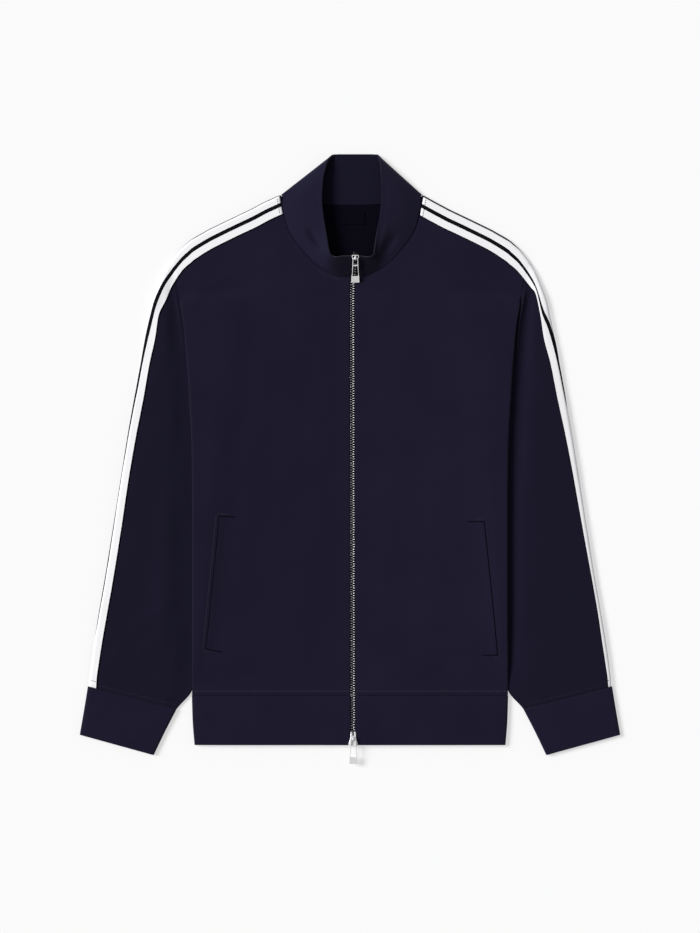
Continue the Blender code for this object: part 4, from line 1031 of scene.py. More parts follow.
class JacketColours(bpy.types.PropertyGroup):
    """Colours of the jacket and of the floor."""
    knit: colour_property("Knit", "Double knit of the body, sleeves, collar and bands",
                          (0.0093, 0.0081, 0.0208))
    stripe: colour_property("Tape white", "White stripes of the sleeve tape", (0.80, 0.795, 0.82))
    band: colour_property("Tape navy", "Dark stripe and edges of the sleeve tape", (0.0036, 0.0030, 0.0052))
    thread: colour_property("Topstitching", "Thread of the visible stitching", (0.034, 0.033, 0.050))
    ribbon: colour_property("Zip ribbon", "Woven ribbon that carries the teeth", (0.006, 0.006, 0.010))
    metal: colour_property("Zip metal", "Sliders and pull tabs", (0.88, 0.88, 0.89))
    teeth: colour_property("Teeth", "Metal of the zip's teeth", (0.50, 0.50, 0.53))
    floor: colour_property("Floor", "Surface that the jacket lies on", (0.38, 0.38, 0.382))


class JacketSizes(bpy.types.PropertyGroup):
    """Sizes of the cloth's mesh and of the zip and stitching."""
    mesh_step: length_property("Mesh step", "Longest edge of the cloth's mesh", 0.0045, 0.002, 0.02)
    swell: length_property("Swell", "Height of the cloth's slow unevenness", 0.00035, 0.0, 0.002)
    tooth_pitch: length_property("Tooth pitch", "Distance between the teeth of one side", 0.00304, 0.001,
                                 0.01)
    stitch_pitch: length_property("Stitch pitch", "Distance between topstitches", 0.0034, 0.001, 0.01)


def size(name):
    """One of the jacket's sizes in millimetres."""
    return getattr(bpy.context.scene.jacket_sizes, name) / MM


# Where the creases and swells of a piece begin and over what length they come in: from the zip, the
# hem, the sleeve's inner edge and the hem band's zip ends
ZIP_CALM, HEM_CALM, EDGE_CALM, BAND_CALM = (12, 30), (-292, 16), (10, 14), (14, 24)
# The line across the shoulder at which the front's creases end: its height, slope and reach
SHOULDER_CALM = (345, 0.42, 26)


class CLOTH_OT_fronts(bpy.types.Operator):
    """Build the two front panels with their side folds"""
    bl_idname = "jacket.fronts"
    bl_label = "Fronts"

    def execute(self, context):
        for side, word in SIDES:
            fine = end_rows(refined(front_grid(side), size("mesh_step")), False)
            place = fine * (side, 1, 1)
            height = crease_height(place, FRONT_CREASES[side])
            height = height + soft_swell(fine, size("swell"), FRONT_SEED + side)
            calm = eased(place[..., 0], *ZIP_CALM) * eased(place[..., 1], *HEM_CALM)
            high, slope, reach = SHOULDER_CALM
            calm *= smooth((high - place[..., 1] - slope * place[..., 0]) / reach)
            fine = raise_cloth(fine, height * calm + seam_dip(fine, False, FRONT_DIP), flip=side < 0)
            mesh = grid_mesh(f"front_panel_{word}", fine, flip=side < 0)
            piece = cloth(f"front_panel_{word}", mesh, WALL, [navy()], [f"front_{word}"])
        return {"FINISHED"}


class CLOTH_OT_back(bpy.types.Operator):
    """Build the back panel, flat on the floor"""
    bl_idname = "jacket.back"
    bl_label = "Back"

    def execute(self, context):
        outline = back_outline()
        mesh = bpy.data.meshes.new("back_panel")
        mesh.from_pydata([(x * MM, y * MM, WALL * MM) for x, y in outline], [], [list(range(len(outline)))])
        if mesh.polygons[0].normal.z < 0:
            mesh.flip_normals()
        mesh.update()
        # The back's upper face takes a much darker copy of the knit: partly the cloth's inner face, partly
        # painted shade inside the neck
        inside = finish("navy knit inside", knit_finish, dimmed(colour("knit"), TONE_AND_PAINTED_LIGHT_SHARES["inside"]),
                        gloss=0.02, sheen=0.0)
        piece = cloth("back_panel", mesh, WALL, [inside, navy()], ["back"], edge=0.3)
        piece.modifiers["wall"].material_offset = 1
        piece.modifiers["wall"].material_offset_rim = 1
        return {"FINISHED"}


def valley_height(side, out, y):
    """How far the sleeve sinks or rises beside the body's edge."""
    rows = np.array(HOLLOWS[side])
    middle, width, depth, ridge = (np.interp(y, rows[:, 0], rows[:, at]) for at in (1, 2, 3, 4))
    sunk = -depth * np.exp(-((out - middle) / width) ** 2)
    raised = ridge * np.exp(-((out - RIDGE_OUT) / RIDGE_WIDTH) ** 2)
    low, top = eased(y, HOLLOW_LOW, HOLLOW_LOW_REACH), smooth((HOLLOW_TOP - y) / HOLLOW_TOP_REACH)
    return (sunk + raised) * low * top


# How the sleeves and cuffs keep clear of what they meet: the tuck of the sleeve's inner edge above
# the cuff, the part of its first ring that stands at the armhole and how that part draws back, and
# the share of the last step by which each end goes on towards the seam
WRIST_TUCK = 1.9
ARMHOLE_Y, ARMHOLE_Z, ARMHOLE_BACK = 200.0, 2.5, (1.1, 0.0, 0.5)
SLEEVE_END, CUFF_END = 0.012, 0.013
SLEEVE_SWELL, CUFF_SWELL, BAND_SWELL, BAND_EDGE = 1.5, 0.2, 0.25, 0.8


class CLOTH_OT_sleeves(bpy.types.Operator):
    """Build the two sleeves as flattened tubes"""
    bl_idname = "jacket.sleeves"
    bl_label = "Sleeves"

    def execute(self, context):
        coarse = np.array([ring.points() for ring in make_rings(SLEEVE_RINGS)])
        coarse[-3:-1, 0:5, 0] -= WRIST_TUCK
        armhole = (coarse[0, :, 1] > ARMHOLE_Y) & (coarse[0, :, 2] > ARMHOLE_Z)
        coarse[0, armhole] -= ARMHOLE_BACK
        coarse[-1] += (coarse[-1] - coarse[-2]) * SLEEVE_END
        for side, word in SIDES:
            fine = end_rows(refined(coarse * (side, 1, 1), size("mesh_step"), closed=True), True)
            place = fine * (side, 1, 1)
            out = place[..., 0] - np.vectorize(body_edge)(place[..., 1])
            height = crease_height(place, SLEEVE_CREASES[side])
            height = height + soft_swell(fine, size("swell") * SLEEVE_SWELL, SLEEVE_SEED + side)
            height = height * eased(out, *EDGE_CALM)
            height = height + valley_height(side, out, place[..., 1]) + seam_dip(fine, True)
            fine = raise_cloth(fine, height, closed=True, flip=side > 0)
            fine = above_floor(fine, WALL, closed=True, flip=side > 0)
            mesh = grid_mesh(f"sleeve_tube_{word}", fine, closed=True, flip=side > 0)
            # The sleeves take a darker copy of the knit: painted shade
            knit = navy(SLEEVE_TURN * side, f"sleeve {word}", TONE_AND_PAINTED_LIGHT_SHARES["sleeve"])
            piece = cloth(f"sleeve_tube_{word}", mesh, WALL, [knit], [f"sleeve_{word}"])
        return {"FINISHED"}


class CLOTH_OT_cuffs(bpy.types.Operator):
    """Build the two doubled cuffs"""
    bl_idname = "jacket.cuffs"
    bl_label = "Cuffs"

    def execute(self, context):
        coarse = np.array([ring.points() for ring in make_rings(CUFF_RINGS)])
        coarse[0] += (coarse[0] - coarse[1]) * CUFF_END
        for side, word in SIDES:
            fine = end_rows(refined(coarse * (side, 1, 1), size("mesh_step"), closed=True), False)
            height = crease_height(fine * (side, 1, 1), CUFF_CREASES[side])
            height = height + soft_swell(fine, CUFF_SWELL, CUFF_SEED + side)
            height = height + seam_dip(fine, False, CUFF_DIP)
            fine = raise_cloth(fine, height, closed=True, flip=side > 0)
            mesh = grid_mesh(f"cuff_band_{word}", fine, closed=True, flip=side > 0)
            knit = navy(CUFF_TURN * side, f"cuff {word}")
            piece = cloth(f"cuff_band_{word}", mesh, BAND_WALL, [knit], [f"cuff_{word}"], edge=BAND_EDGE)
        return {"FINISHED"}


class CLOTH_OT_hem_band(bpy.types.Operator):
    """Build the doubled hem band"""
    bl_idname = "jacket.hem_band"
    bl_label = "Hem band"

    def execute(self, context):
        fine = end_rows(refined(hem_grid(), size("mesh_step")), False)
        height = crease_height(fine, HEM_CREASES) + soft_swell(fine, BAND_SWELL, BAND_SEED)
        from_zip = np.abs(fine[..., 0] - ZIP_LINE[0][1])
        height = height * eased(from_zip, *BAND_CALM) + seam_dip(fine, False, BAND_DIP)
        mesh = grid_mesh("hem_rib", raise_cloth(fine, height, flip=True), flip=True)
        piece = cloth("hem_rib", mesh, BAND_WALL, [navy()], ["hem_band"], edge=BAND_EDGE)
        return {"FINISHED"}


COLLAR_STEP, COLLAR_EDGE = 3.2, 0.9
# Height over which the collar's creases come in, and its rolled rim: how far it swells, how far in
# from the edge and how wide
COLLAR_CALM, RIM_SWELL, RIM_IN, RIM_WIDTH = (5.5, 4), 0.45, 1.3, 1.5
# Foot height, as the sum of two rows' feet, under which the collar stands at the back and shows its inside,
# which takes a darker copy of the knit as painted shade
BACK_FEET = 1.2
# Painted shade round the top of the zip: its middle, where it is deepest, where it ends, and how deep
ZIP_PAINTED_SHADE = ((8.0, 238.0, 11.0), 16.0, 46.0, 0.42)


class CLOTH_OT_collar(bpy.types.Operator):
    """Build the standing collar"""
    bl_idname = "jacket.collar"
    bl_label = "Collar"

    def execute(self, context):
        fine = refined(collar_grid(), COLLAR_STEP)
        height = crease_height(fine, COLLAR_CREASES) * eased(fine[..., 2], *COLLAR_CALM)
        fine = raise_cloth(fine, height, flip=True)
        away = np.linalg.norm(fine - fine[:, -1:], axis=2)
        swell = RIM_SWELL * np.exp(-((away - RIM_IN) / RIM_WIDTH) ** 2)
        fine += grid_normals(fine, flip=True) * swell[..., None]
        fine[..., 2] = np.maximum(fine[..., 2], 0.0)
        at_back = fine[:-1, 0, 2] + fine[1:, 0, 2] < BACK_FEET
        mesh = grid_mesh("collar_stand", fine, flip=True, bands=at_back[:, None])
        # Painted light and shade: the collar takes a lighter copy of the knit, darkened round the top of
        # the zip, and its inside at the back a darker one
        knits = [navy(0.0, "collar", TONE_AND_PAINTED_LIGHT_SHARES["collar"], ZIP_PAINTED_SHADE),
                 navy(0.0, "collar inside", TONE_AND_PAINTED_LIGHT_SHARES["collar inside"])]
        piece = cloth("collar_stand", mesh, COLLAR_WALL, knits, ["collar"], edge=COLLAR_EDGE)
        return {"FINISHED"}


WELT_STEP, WELT_WALL = 2.5, 1.1
# How proud of the front a welt stands: at its inner edge, and how much more it rises towards the
# mouth, from where and over what length; how deep its mouth's edge drops and over what length
WELT_LEVEL, WELT_RISE, WELT_RISE_START, WELT_RISE_REACH = -0.3, 0.75, 15.0, 12.0
MOUTH_DROP, MOUTH_REACH = 1.0, 1.5
# The bar at each end of a welt: how proud it stands, how far it falls off, from where and over what length;
# and how wide the painted shadow along the mouth and ends is, with the mouth's distance counted short by a
# share
BAR_LEVEL, BAR_FALL, BAR_START, BAR_REACH = 0.2, 0.6, 1.2, 1.6
PAINTED_SHADOW_WIDTH, MOUTH_SHARE = 1.25, 0.6


class CLOTH_OT_pocket_welts(bpy.types.Operator):
    """Build the pocket welts, whose inner edges run out level with the fronts"""
    bl_idname = "jacket.pocket_welts"
    bl_label = "Pocket welts"

    def execute(self, context):
        for side, word in SIDES:
            surface = surface_of(f"front_panel_{word}")
            rows = [row for row in FRONT_ROWS if POCKET_LOW_Y <= row.y <= POCKET_TOP_Y]
            coarse = np.array([front_row(row, side)[WELT_COLUMN:WELT_COLUMN + 3] for row in rows])
            fine = end_rows(end_rows(refined(coarse, WELT_STEP), False), True)
            fine = np.swapaxes(end_rows(np.swapaxes(fine, 0, 1), True), 0, 1)
            from_mouth, from_low, from_top = (np.linalg.norm(fine - edge, axis=2)
                                              for edge in (fine[:, -1:], fine[:1], fine[-1:]))
            from_end = np.minimum(from_low, from_top)
            proud = WELT_LEVEL + WELT_RISE * smooth((WELT_RISE_START - from_mouth) / WELT_RISE_REACH)
            proud = np.maximum(proud, BAR_LEVEL - BAR_FALL * eased(from_end, BAR_START, BAR_REACH))
            proud -= MOUTH_DROP * (1.0 - smooth(from_mouth / MOUTH_REACH))
            for at in np.ndindex(proud.shape):
                hit = surface.ray_cast(Vector((fine[at][0], fine[at][1], OVERHEAD)), DOWN)[0]
                fine[at][2] = hit.z + proud[at]
            # The welt's mouth and ends take a near-black copy of the knit: a painted shadow of the pocket's
            # slit
            dark = np.minimum(from_mouth * MOUTH_SHARE, from_end) < PAINTED_SHADOW_WIDTH
            mesh = grid_mesh(f"welt_{word}", fine, flip=side < 0, bands=dark[1:, 1:] & dark[:-1, :-1])
            knits = [navy(), navy(0.0, "pocket mouth", TONE_AND_PAINTED_LIGHT_SHARES["pocket mouth"])]
            piece = cloth(f"welt_{word}", mesh, WELT_WALL, knits, [f"pocket_welt_{word}"], edge=0.0)
        return {"FINISHED"}


# Where the tape's first place on the shoulder lies, how many parts the shoulder is measured in, from
# where the tape turns to lie as it does on the sleeve, and how it is held at the shoulder's edge
TAPE_START, TAPE_PARTS, TAPE_TURN = 0.012, 24, (0.72, 0.28)
EDGE_HOLD, EDGE_YIELD = 0.3, 0.25
TAPE_STEP, TAPE_WALL, TAPE_GAP, TAPE_LOWEST = 3.0, 0.7, 0.12, 0.8
# How the tape finds the cloth below: from how far out and over what length it looks, how often its
# lift is smoothed, and the least and most that it moves
SEEK_FROM, SEEK_REACH, SEEK_PASSES, LEAST_SHIFT, MOST_SHIFT = 4.0, 7.5, 5, -1.2, 1.6


class ShoulderStation:
    """A place along the shoulder that the tape passes over, measured as a sleeve's ring is."""

    def __init__(self, side, share):
        self.side, self.share = side, share
        self.radius = shoulder_radius(share)

    def edge_point(self, travel):
        """Point at a distance round the shoulder's rolled edge, held at the edge where it ends."""
        quarter = math.pi / 2.0 * self.radius
        travel = max(travel, EDGE_HOLD * self.radius + EDGE_YIELD * min(travel, 0.0))
        if travel < quarter:
            inset = self.radius * (1.0 - math.cos(travel / self.radius))
        else:
            inset = self.radius + travel - quarter
        point = shoulder_point(self.side, self.share, inset)
        return (point[0] * self.side, point[1], point[2])


def tape_stations(side):
    """Stations of the tape from the collar to the cuff, each with how the tape lies there."""
    first_ring, flat_lay = TAPE_LAYS[side][0], TAPE_PLAIN[side]
    stations = []
    for share in [TAPE_START, *[at / TAPE_PARTS for at in range(1, TAPE_PARTS - 1)]]:
        turn = eased(share, *TAPE_TURN)
        lay = TapeLay(*[plain + (ring - plain) * turn for plain, ring in zip(flat_lay, first_ring)])
        stations.append((ShoulderStation(side, share), lay))
    return stations + list(zip(make_rings(SLEEVE_RINGS), TAPE_LAYS[side]))[1:]


def tape_columns(lay):
    """Distances from the tape's inner edge at which it is drawn, and the band of each strip."""
    places, bands = [0.0], []
    for band, width, count in ((1, TAPE_EDGE, 1), (0, lay.inner, 5), (1, lay.navy, 2), (0, lay.outer, 5),
                               (1, TAPE_OUTER_EDGE, 1)):
        for _ in range(count):
            places.append(places[-1] + width / count)
        bands += [band] * count
    return places, bands


def laid_on(grid, normals, surfaces, lift):
    """Move each point of a grid along its normal to `lift` above the cloth below it, smoothed along."""
    shifts = np.zeros(grid.shape[:2])
    for at in np.ndindex(shifts.shape):
        point, normal = Vector(grid[at]), Vector(normals[at])
        start = point + normal * SEEK_FROM
        hits = [surface.ray_cast(start, -normal, SEEK_REACH)[3] for surface in surfaces]
        hits = [SEEK_FROM - distance for distance in hits if distance is not None]
        shifts[at] = max(hits) if hits else 0.0
    for _ in range(SEEK_PASSES):
        padded = np.pad(shifts, ((1, 1), (0, 0)), mode="edge")
        shifts = np.maximum(shifts, (padded[:-2] + padded[1:-1] + padded[2:]) / 3.0)
    return grid + normals * (np.clip(shifts, LEAST_SHIFT, MOST_SHIFT) + lift)[..., None]


class CLOTH_OT_sleeve_tapes(bpy.types.Operator):
    """Build the striped tapes from the collar over the shoulders to the cuffs"""
    bl_idname = "jacket.sleeve_tapes"
    bl_label = "Sleeve tapes"

    def execute(self, context):
        white = finish("white tape", knit_finish, colour("stripe"), spacing=0.8, shade=0.05, bump=0.1,
                       gloss=0.2)
        dark = finish("navy stripe", knit_finish, colour("band"), spacing=0.8, shade=0.15, bump=0.1,
                      sheen=0.02, gloss=0.05)
        for side, word in SIDES:
            rows = []
            for station, lay in tape_stations(side):
                places, bands = tape_columns(lay)
                top = lay.reach - station.radius + math.pi / 2.0 * station.radius
                rows.append([station.edge_point(top - place) for place in places])
            fine = through(np.array(rows) * (side, 1, 1), TAPE_STEP)
            below = [surface_of(f"front_panel_{word}"), surface_of(f"sleeve_tube_{word}")]
            fine = laid_on(fine, grid_normals(fine, flip=side > 0), below, TAPE_GAP)
            fine[..., 2] = np.maximum(fine[..., 2], TAPE_LOWEST)
            mesh = grid_mesh(f"striped_tape_{word}", fine, flip=side > 0, bands=bands)
            piece = cloth(f"striped_tape_{word}", mesh, TAPE_WALL, [white, dark], [f"sleeve_tape_{word}"],
                          edge=0.0, side=1.0)
        return {"FINISHED"}


RIBBON_COLUMNS = (3.3, 3.7, 4.3, 4.9, 5.4, 7.4, 9.5)
RIBBON_STEP, RIBBON_WALL, RIBBON_DROP = 5.0, 0.9, 0.05


class CLOTH_OT_zip_ribbons(bpy.types.Operator):
    """Build the zip's two woven ribbons"""
    bl_idname = "jacket.zip_ribbons"
    bl_label = "Zip ribbons"

    def execute(self, context):
        ribbon = finish("zip ribbon", knit_finish, colour("ribbon"), spacing=0.6, shade=0.3, bump=0.15)
        for side, word in SIDES:
            rows = [[(zip_x(y) + side * across, y, z - RIBBON_DROP) for across in RIBBON_COLUMNS]
                    for y, z in ZIP_TAPE_PATH]
            mesh = grid_mesh(f"zip_ribbon_{word}", through(np.array(rows), RIBBON_STEP), flip=side < 0)
            piece = cloth(f"zip_ribbon_{word}", mesh, RIBBON_WALL, [ribbon], [f"zip_tape_{word}"], edge=0.0)
        return {"FINISHED"}


TEETH_LOW_Y, TEETH_TOP_Y, TAB_FOOT_Y = -347.6, 248.0, 222.0
TOOTH_HEIGHT = 2.3
# A tooth seen from the side: distance out from the zip's middle, its height there and its width
TOOTH_SECTIONS = [(-0.35, 0.9, 0.7), (-0.05, 1.35, 0.95), (0.6, 1.6, 1.0), (1.3, 2.05, 1.1),
                  (2.2, 2.3, 1.3), (2.7, 2.0, 1.3), (2.95, 1.2, 1.0)]
# A tooth's outline across, from its foot: shares of its width and height
TOOTH_OUTLINE = ((-0.5, 0.0), (0.5, 0.0), (0.5, 0.72), (0.28, 1.0), (-0.28, 1.0), (-0.5, 0.72))


def tooth_shape(side):
    """Points and faces of one tooth, whose top slopes down to the zip's middle."""
    points = [(side * out, across * width, up * height)
              for out, height, width in TOOTH_SECTIONS for across, up in TOOTH_OUTLINE]
    faces = tube_faces(len(TOOTH_SECTIONS), len(TOOTH_OUTLINE))
    return np.array(points), [face[::-1] for face in faces] if side < 0 else faces


class CLOTH_OT_zip_teeth(bpy.types.Operator):
    """Build the zip's two rows of metal teeth"""
    bl_idname = "jacket.zip_teeth"
    bl_label = "Zip teeth"

    def execute(self, context):
        metal = finish("zip teeth", metal_finish, colour("teeth"), roughness=0.3)
        # Teeth under the pull take a darker metal: painted shade
        shaded = finish("zip teeth under the pull", metal_finish, (0.2, 0.2, 0.21), roughness=0.45)
        pitch = size("tooth_pitch") / 2.0
        shapes = {side: tooth_shape(side) for side, _ in SIDES}
        made, kinds = [], []
        for number in range(int((TEETH_TOP_Y - TEETH_LOW_Y) / pitch)):
            y = TEETH_LOW_Y + number * pitch
            z = polyline_at(CHAIN_PATH, y)
            slope = math.atan2(polyline_at(CHAIN_PATH, y + 1) - z, 1.0)
            side = 1 if number % 2 else -1
            made.append(turned(shapes[side], slope, (zip_x(y), y, z - TOOTH_HEIGHT)))
            # Teeth above the tab's foot take the painted-shade metal
            kinds.append(int(y > TAB_FOOT_Y))
        mesh = joined("zip_teeth_rows", made, kinds)
        new_piece("zip_teeth_rows", mesh, [metal, shaded], BODY, ["zip_chain"])
        return {"FINISHED"}


# The plate over each slider, one half of its outline, and how deep the slider is; the top one's nose
# has two holes: their middle, their half width and half length
NOSE = [(3.2, -1.4), (4.0, -0.6), (4.45, 0.8), (4.4, 3.0), (3.6, 4.0)]
NOSE_HOLE, NOSE_HOLE_SIZE = (2.25, 1.5), (1.25, 1.45)
TOP_DEPTH, BOTTOM_DEPTH = 5.2, 4.6
PLATE, PLATE_EDGE, PLATE_RISE = 1.0, 0.3, 0.8
# The bail's middle line from the side, and half its width and thickness
BAIL = [(-1.55, 1.0), (-1.55, 2.6), (-1.5, 3.9), (-1.1, 4.95), (0.0, 5.3), (1.3, 4.95), (1.95, 3.9),
        (2.15, 2.6), (2.15, 1.0)]
BAIL_HALF, BAIL_THICK = 0.85, 0.5


def moved(shape, x, y, z):
    """A shape moved by a distance."""
    return shape[0] + np.array((x, y, z)), shape[1]


def slider_shapes(slider):
    """Shapes of one slider in its own frame: bright plate and bail, and deck, floor and post in a
    near-black metal that is painted shade.
    """
    half = slider.length / 2.0
    if slider.opens > 0:
        outline, depth = NOSE, TOP_DEPTH
        (middle, along), (wide, long) = NOSE_HOLE, NOSE_HOLE_SIZE
        turns = np.linspace(0, 2 * math.pi, 12, endpoint=False)
        holes = [[(place + wide * math.cos(turn), along + long * math.sin(turn)) for turn in turns]
                 for place in (-middle, middle)]
    else:
        outline = [(slider.wide / 2.0, -half), (5.5, -5.2), (4.3, -1.5), (3.5, 1.5),
                   (slider.narrow / 2.0, half), (1.2, half), (0.8, 3.4)]
        holes, depth = [], BOTTOM_DEPTH
    plate = flat_frame([outline + [(-x, y) for x, y in reversed(outline)], *holes], PLATE, PLATE_EDGE)
    deck = bevelled_box((6.4, slider.length * 0.96, 0.9), 0.3, 2)
    lower = bevelled_box((5.6, slider.length, 0.9), 0.25)
    post = bevelled_box((2.4, 2.2, depth + 0.5), 0.3)
    bright = [moved(plate, 0, 0, PLATE_RISE), bail_shape()]
    dull = [moved(deck, 0, 0, -0.9), moved(lower, 0, 0, 0.45 - depth),
            moved(post, 0, slider.opens * (half - 1.1), (0.5 - depth) / 2.0)]
    return bright, dull


def bail_shape():
    """Points and faces of the arched bail that the pull hangs from."""
    points = []
    for at, (y, z) in enumerate(BAIL):
        before, after = BAIL[max(at - 1, 0)], BAIL[min(at + 1, len(BAIL) - 1)]
        along = np.array((after[0] - before[0], after[1] - before[1]))
        along = along / np.linalg.norm(along)
        for corner in range(8):
            turn = math.radians(45 * corner + 22.5)
            across, out = BAIL_HALF * math.cos(turn), BAIL_THICK * math.sin(turn)
            points.append((across, y + along[1] * out, z - along[0] * out))
    return np.array(points), tube_faces(len(BAIL), 8)


class CLOTH_OT_sliders(bpy.types.Operator):
    """Build the two zip sliders"""
    bl_idname = "jacket.sliders"
    bl_label = "Zip sliders"

    def execute(self, context):
        metal = finish("slider metal", metal_finish, colour("metal"), roughness=0.22, metallic=0.45)
        # The deck, floor and post take a near-black metal: painted shade
        dulled = finish("slider inside", metal_finish, (0.03, 0.03, 0.034), roughness=0.5)
        for slider in SLIDERS:
            bright, dull = slider_shapes(slider)
            name, place = f"slider_body_{slider.name}", (slider.x, slider.y, slider.z)
            shapes = [turned(shape, slider.tilt, place) for shape in bright + dull]
            mesh = joined(name, shapes, [0] * len(bright) + [1] * len(dull))
            new_piece(name, mesh, [metal, dulled], BODY, [f"slider_{slider.name}"])
        return {"FINISHED"}


def rounded(points, corners, radius):
    """An outline with some of its corners rounded."""
    made = []
    count = len(points)
    for at, point in enumerate(points):
        point = np.array(point, dtype=float)
        if at not in corners:
            made.append(tuple(point))
            continue
        before, after = np.array(points[at - 1]) - point, np.array(points[(at + 1) % count]) - point
        before, after = (side / np.linalg.norm(side) * radius for side in (before, after))
        made += [tuple(point + before * (1 - share) ** 2 + after * share ** 2)
                 for share in (0.0, 0.25, 0.5, 0.75, 1.0)]
    return made


# The pull's outline: one half of its edge, and its small and large window
PULL_EDGE = [(3.4, 0.9), (3.7, -8.0), (4.2, -20.0), (4.9, -23.5), (5.25, -31.5)]
SMALL_WINDOW = [(-2.4, -0.9), (2.4, -0.9), (2.6, -8.2), (-2.6, -8.2)]
LARGE_WINDOW = [(-2.75, -9.6), (2.75, -9.6), (3.6, -23.0), (-3.6, -23.0)]
PULL_THICKNESS, PULL_ROUNDING = 1.6, 0.35


class CLOTH_OT_pull_tabs(bpy.types.Operator):
    """Build the two framed pull tabs, each hinged in its slider's bail"""
    bl_idname = "jacket.pull_tabs"
    bl_label = "Pull tabs"

    def execute(self, context):
        metal = finish("pull metal", metal_finish, colour("metal"), roughness=0.2, metallic=0.35)
        outer = rounded([(-x, y) for x, y in PULL_EDGE] + PULL_EDGE[::-1], (0, 4, 5, 9), 1.2)
        windows = [rounded(SMALL_WINDOW, (2, 3), 0.5), rounded(LARGE_WINDOW, (2, 3), 0.6)]
        tab = flat_frame([outer, *windows], PULL_THICKNESS, PULL_ROUNDING)
        for slider in SLIDERS:
            place = (slider.x, slider.y - math.sin(slider.tilt) * HINGE_RISE,
                     slider.z + math.cos(slider.tilt) * HINGE_RISE)
            name, node = f"pull_tab_{slider.name}", f"pull_{slider.name}"
            mesh = joined(name, [turned(tab, slider.pull_tilt, place)])
            new_piece(name, mesh, [metal], node, [node])
        return {"FINISHED"}


LABEL_X, LABEL_Y, LABEL_HEIGHT, LABEL_WALL = 3.0, 301.0, 2.35, 0.5
LABEL_HALF, LABEL_WAVE = (15.5, 7.5), 0.35


class CLOTH_OT_neck_label(bpy.types.Operator):
    """Build the blank woven label inside the neck"""
    bl_idname = "jacket.neck_label"
    bl_label = "Neck label"

    def execute(self, context):
        woven = finish("woven label", knit_finish, (0.0027, 0.0024, 0.0056), spacing=0.45, shade=0.25,
                       bump=0.2, gloss=0.02, sheen=0.0, lint=0.0)
        wide, tall = LABEL_HALF
        across, along = np.meshgrid(np.linspace(-wide, wide, 32), np.linspace(-tall, tall, 16))
        lift = LABEL_WAVE * np.sin(across * 0.16 + 0.6) * np.cos(along * 0.14) * (1 - (along / tall) ** 4)
        grid = np.stack([across + LABEL_X, along + LABEL_Y, LABEL_HEIGHT + np.abs(lift)], axis=-1)
        mesh = grid_mesh("neck_label_woven", grid)
        piece = cloth("neck_label_woven", mesh, LABEL_WALL, [woven], ["neck_label"], edge=0.15)
        return {"FINISHED"}


# Half the thickness of the thread in seams and in bars, the pitch and length of a bar's stitches,
# and those of the stitches over the tape, with how proud they stand
SEAM_THREAD, BAR_THREAD = 0.34, 0.3
BAR_STITCH, TAPE_STITCH = (1.8, 1.1), (2.4, 2.0, 0.85)
HEM_STITCH_Y, HEM_STITCH_X, HEM_STITCH_IN = -289, 196.0, 1.5
NECK_STITCH_IN, NECK_STITCH_END = 5.0, (80.5, 304.0)
# At each end of a pocket: how far outside it the bar lies and its share of the welt's width; and
# how far from the mouth the long stitching runs
POCKET_BARS, MOUTH_STITCH_OUT = ((POCKET_TOP_Y, 2.6, 0.6), (POCKET_LOW_Y, -2.4, 0.3)), 2.2
# Each bar over the tape: across the shoulder, inset by inset, and above the cuff, place by place
TAPE_BAR_SHARE, TAPE_BAR_INSETS, CUFF_BAR = 0.035, (23.4, 1.6), ((316.6, -277.2), (325.0, -275.0))
CUFF_STITCH = ((217.5, -306.0), (315.0, -281.5))


class CLOTH_OT_topstitching(bpy.types.Operator):
    """Lay the visible stitching on the fronts, sleeves, pockets and tapes"""
    bl_idname = "jacket.topstitching"
    bl_label = "Topstitching"

    def execute(self, context):
        yarn = {"spacing": 0.5, "shade": 0.2, "bump": 0.05, "lint": 0.0}
        thread = finish("navy thread", knit_finish, colour("thread"), **yarn)
        dark = finish("dark thread", knit_finish, dimmed(colour("knit"), TONE_AND_PAINTED_LIGHT_SHARES["thread"]), **yarn)
        pitch = size("stitch_pitch")
        made, quiet = [], []
        pocket_rows = {row.y: row for row in FRONT_ROWS}
        for side, word in SIDES:
            front, sleeve, tape = (surface_of(f"{piece}_{word}")
                                   for piece in ("front_panel", "sleeve_tube", "striped_tape"))
            zip_side = side * (side * zip_x(HEM_STITCH_Y) + ZIP_SLOT + HEM_STITCH_IN)
            hem = [(zip_side, HEM_STITCH_Y), (side * HEM_STITCH_X, HEM_STITCH_Y)]
            neck = [(side * x, y) for x, y in neck_edge(side, NECK_STITCH_IN)]
            neck.append((side * (NECK_STITCH_END[0] + NECK_X * side), NECK_STITCH_END[1]))
            made += stitches(hem, front, SEAM_THREAD, pitch)
            quiet += stitches(neck, front, SEAM_THREAD, pitch)
            mouth_line = []
            for row, rise, share in POCKET_BARS:
                welt = front_row(pocket_rows[row], side)[WELT_COLUMN:][:3]
                inner, mouth = np.array(welt[0][:2]), np.array(welt[2][:2])
                bar = mouth + (inner - mouth) * share
                made += stitches([mouth + (0, rise), bar + (0, rise)], front, BAR_THREAD, *BAR_STITCH)
                mouth_line.append(mouth + (side * MOUTH_STITCH_OUT, 0))
            (made if side < 0 else quiet).extend(stitches(mouth_line, front, BAR_THREAD, pitch))
            for ends in ([shoulder_point(side, TAPE_BAR_SHARE, inset)[:2] for inset in TAPE_BAR_INSETS],
                         [(side * x, y) for x, y in CUFF_BAR]):
                quiet += stitches(ends, tape, BAR_THREAD, *TAPE_STITCH)
            quiet += stitches([(side * x, y) for x, y in CUFF_STITCH], sleeve, SEAM_THREAD, pitch)
        new_piece("topstitching", joined("topstitching", made), [thread], BODY, ())
        new_piece("quiet_stitching", joined("quiet_stitching", quiet), [dark], BODY, ())
        return {"FINISHED"}


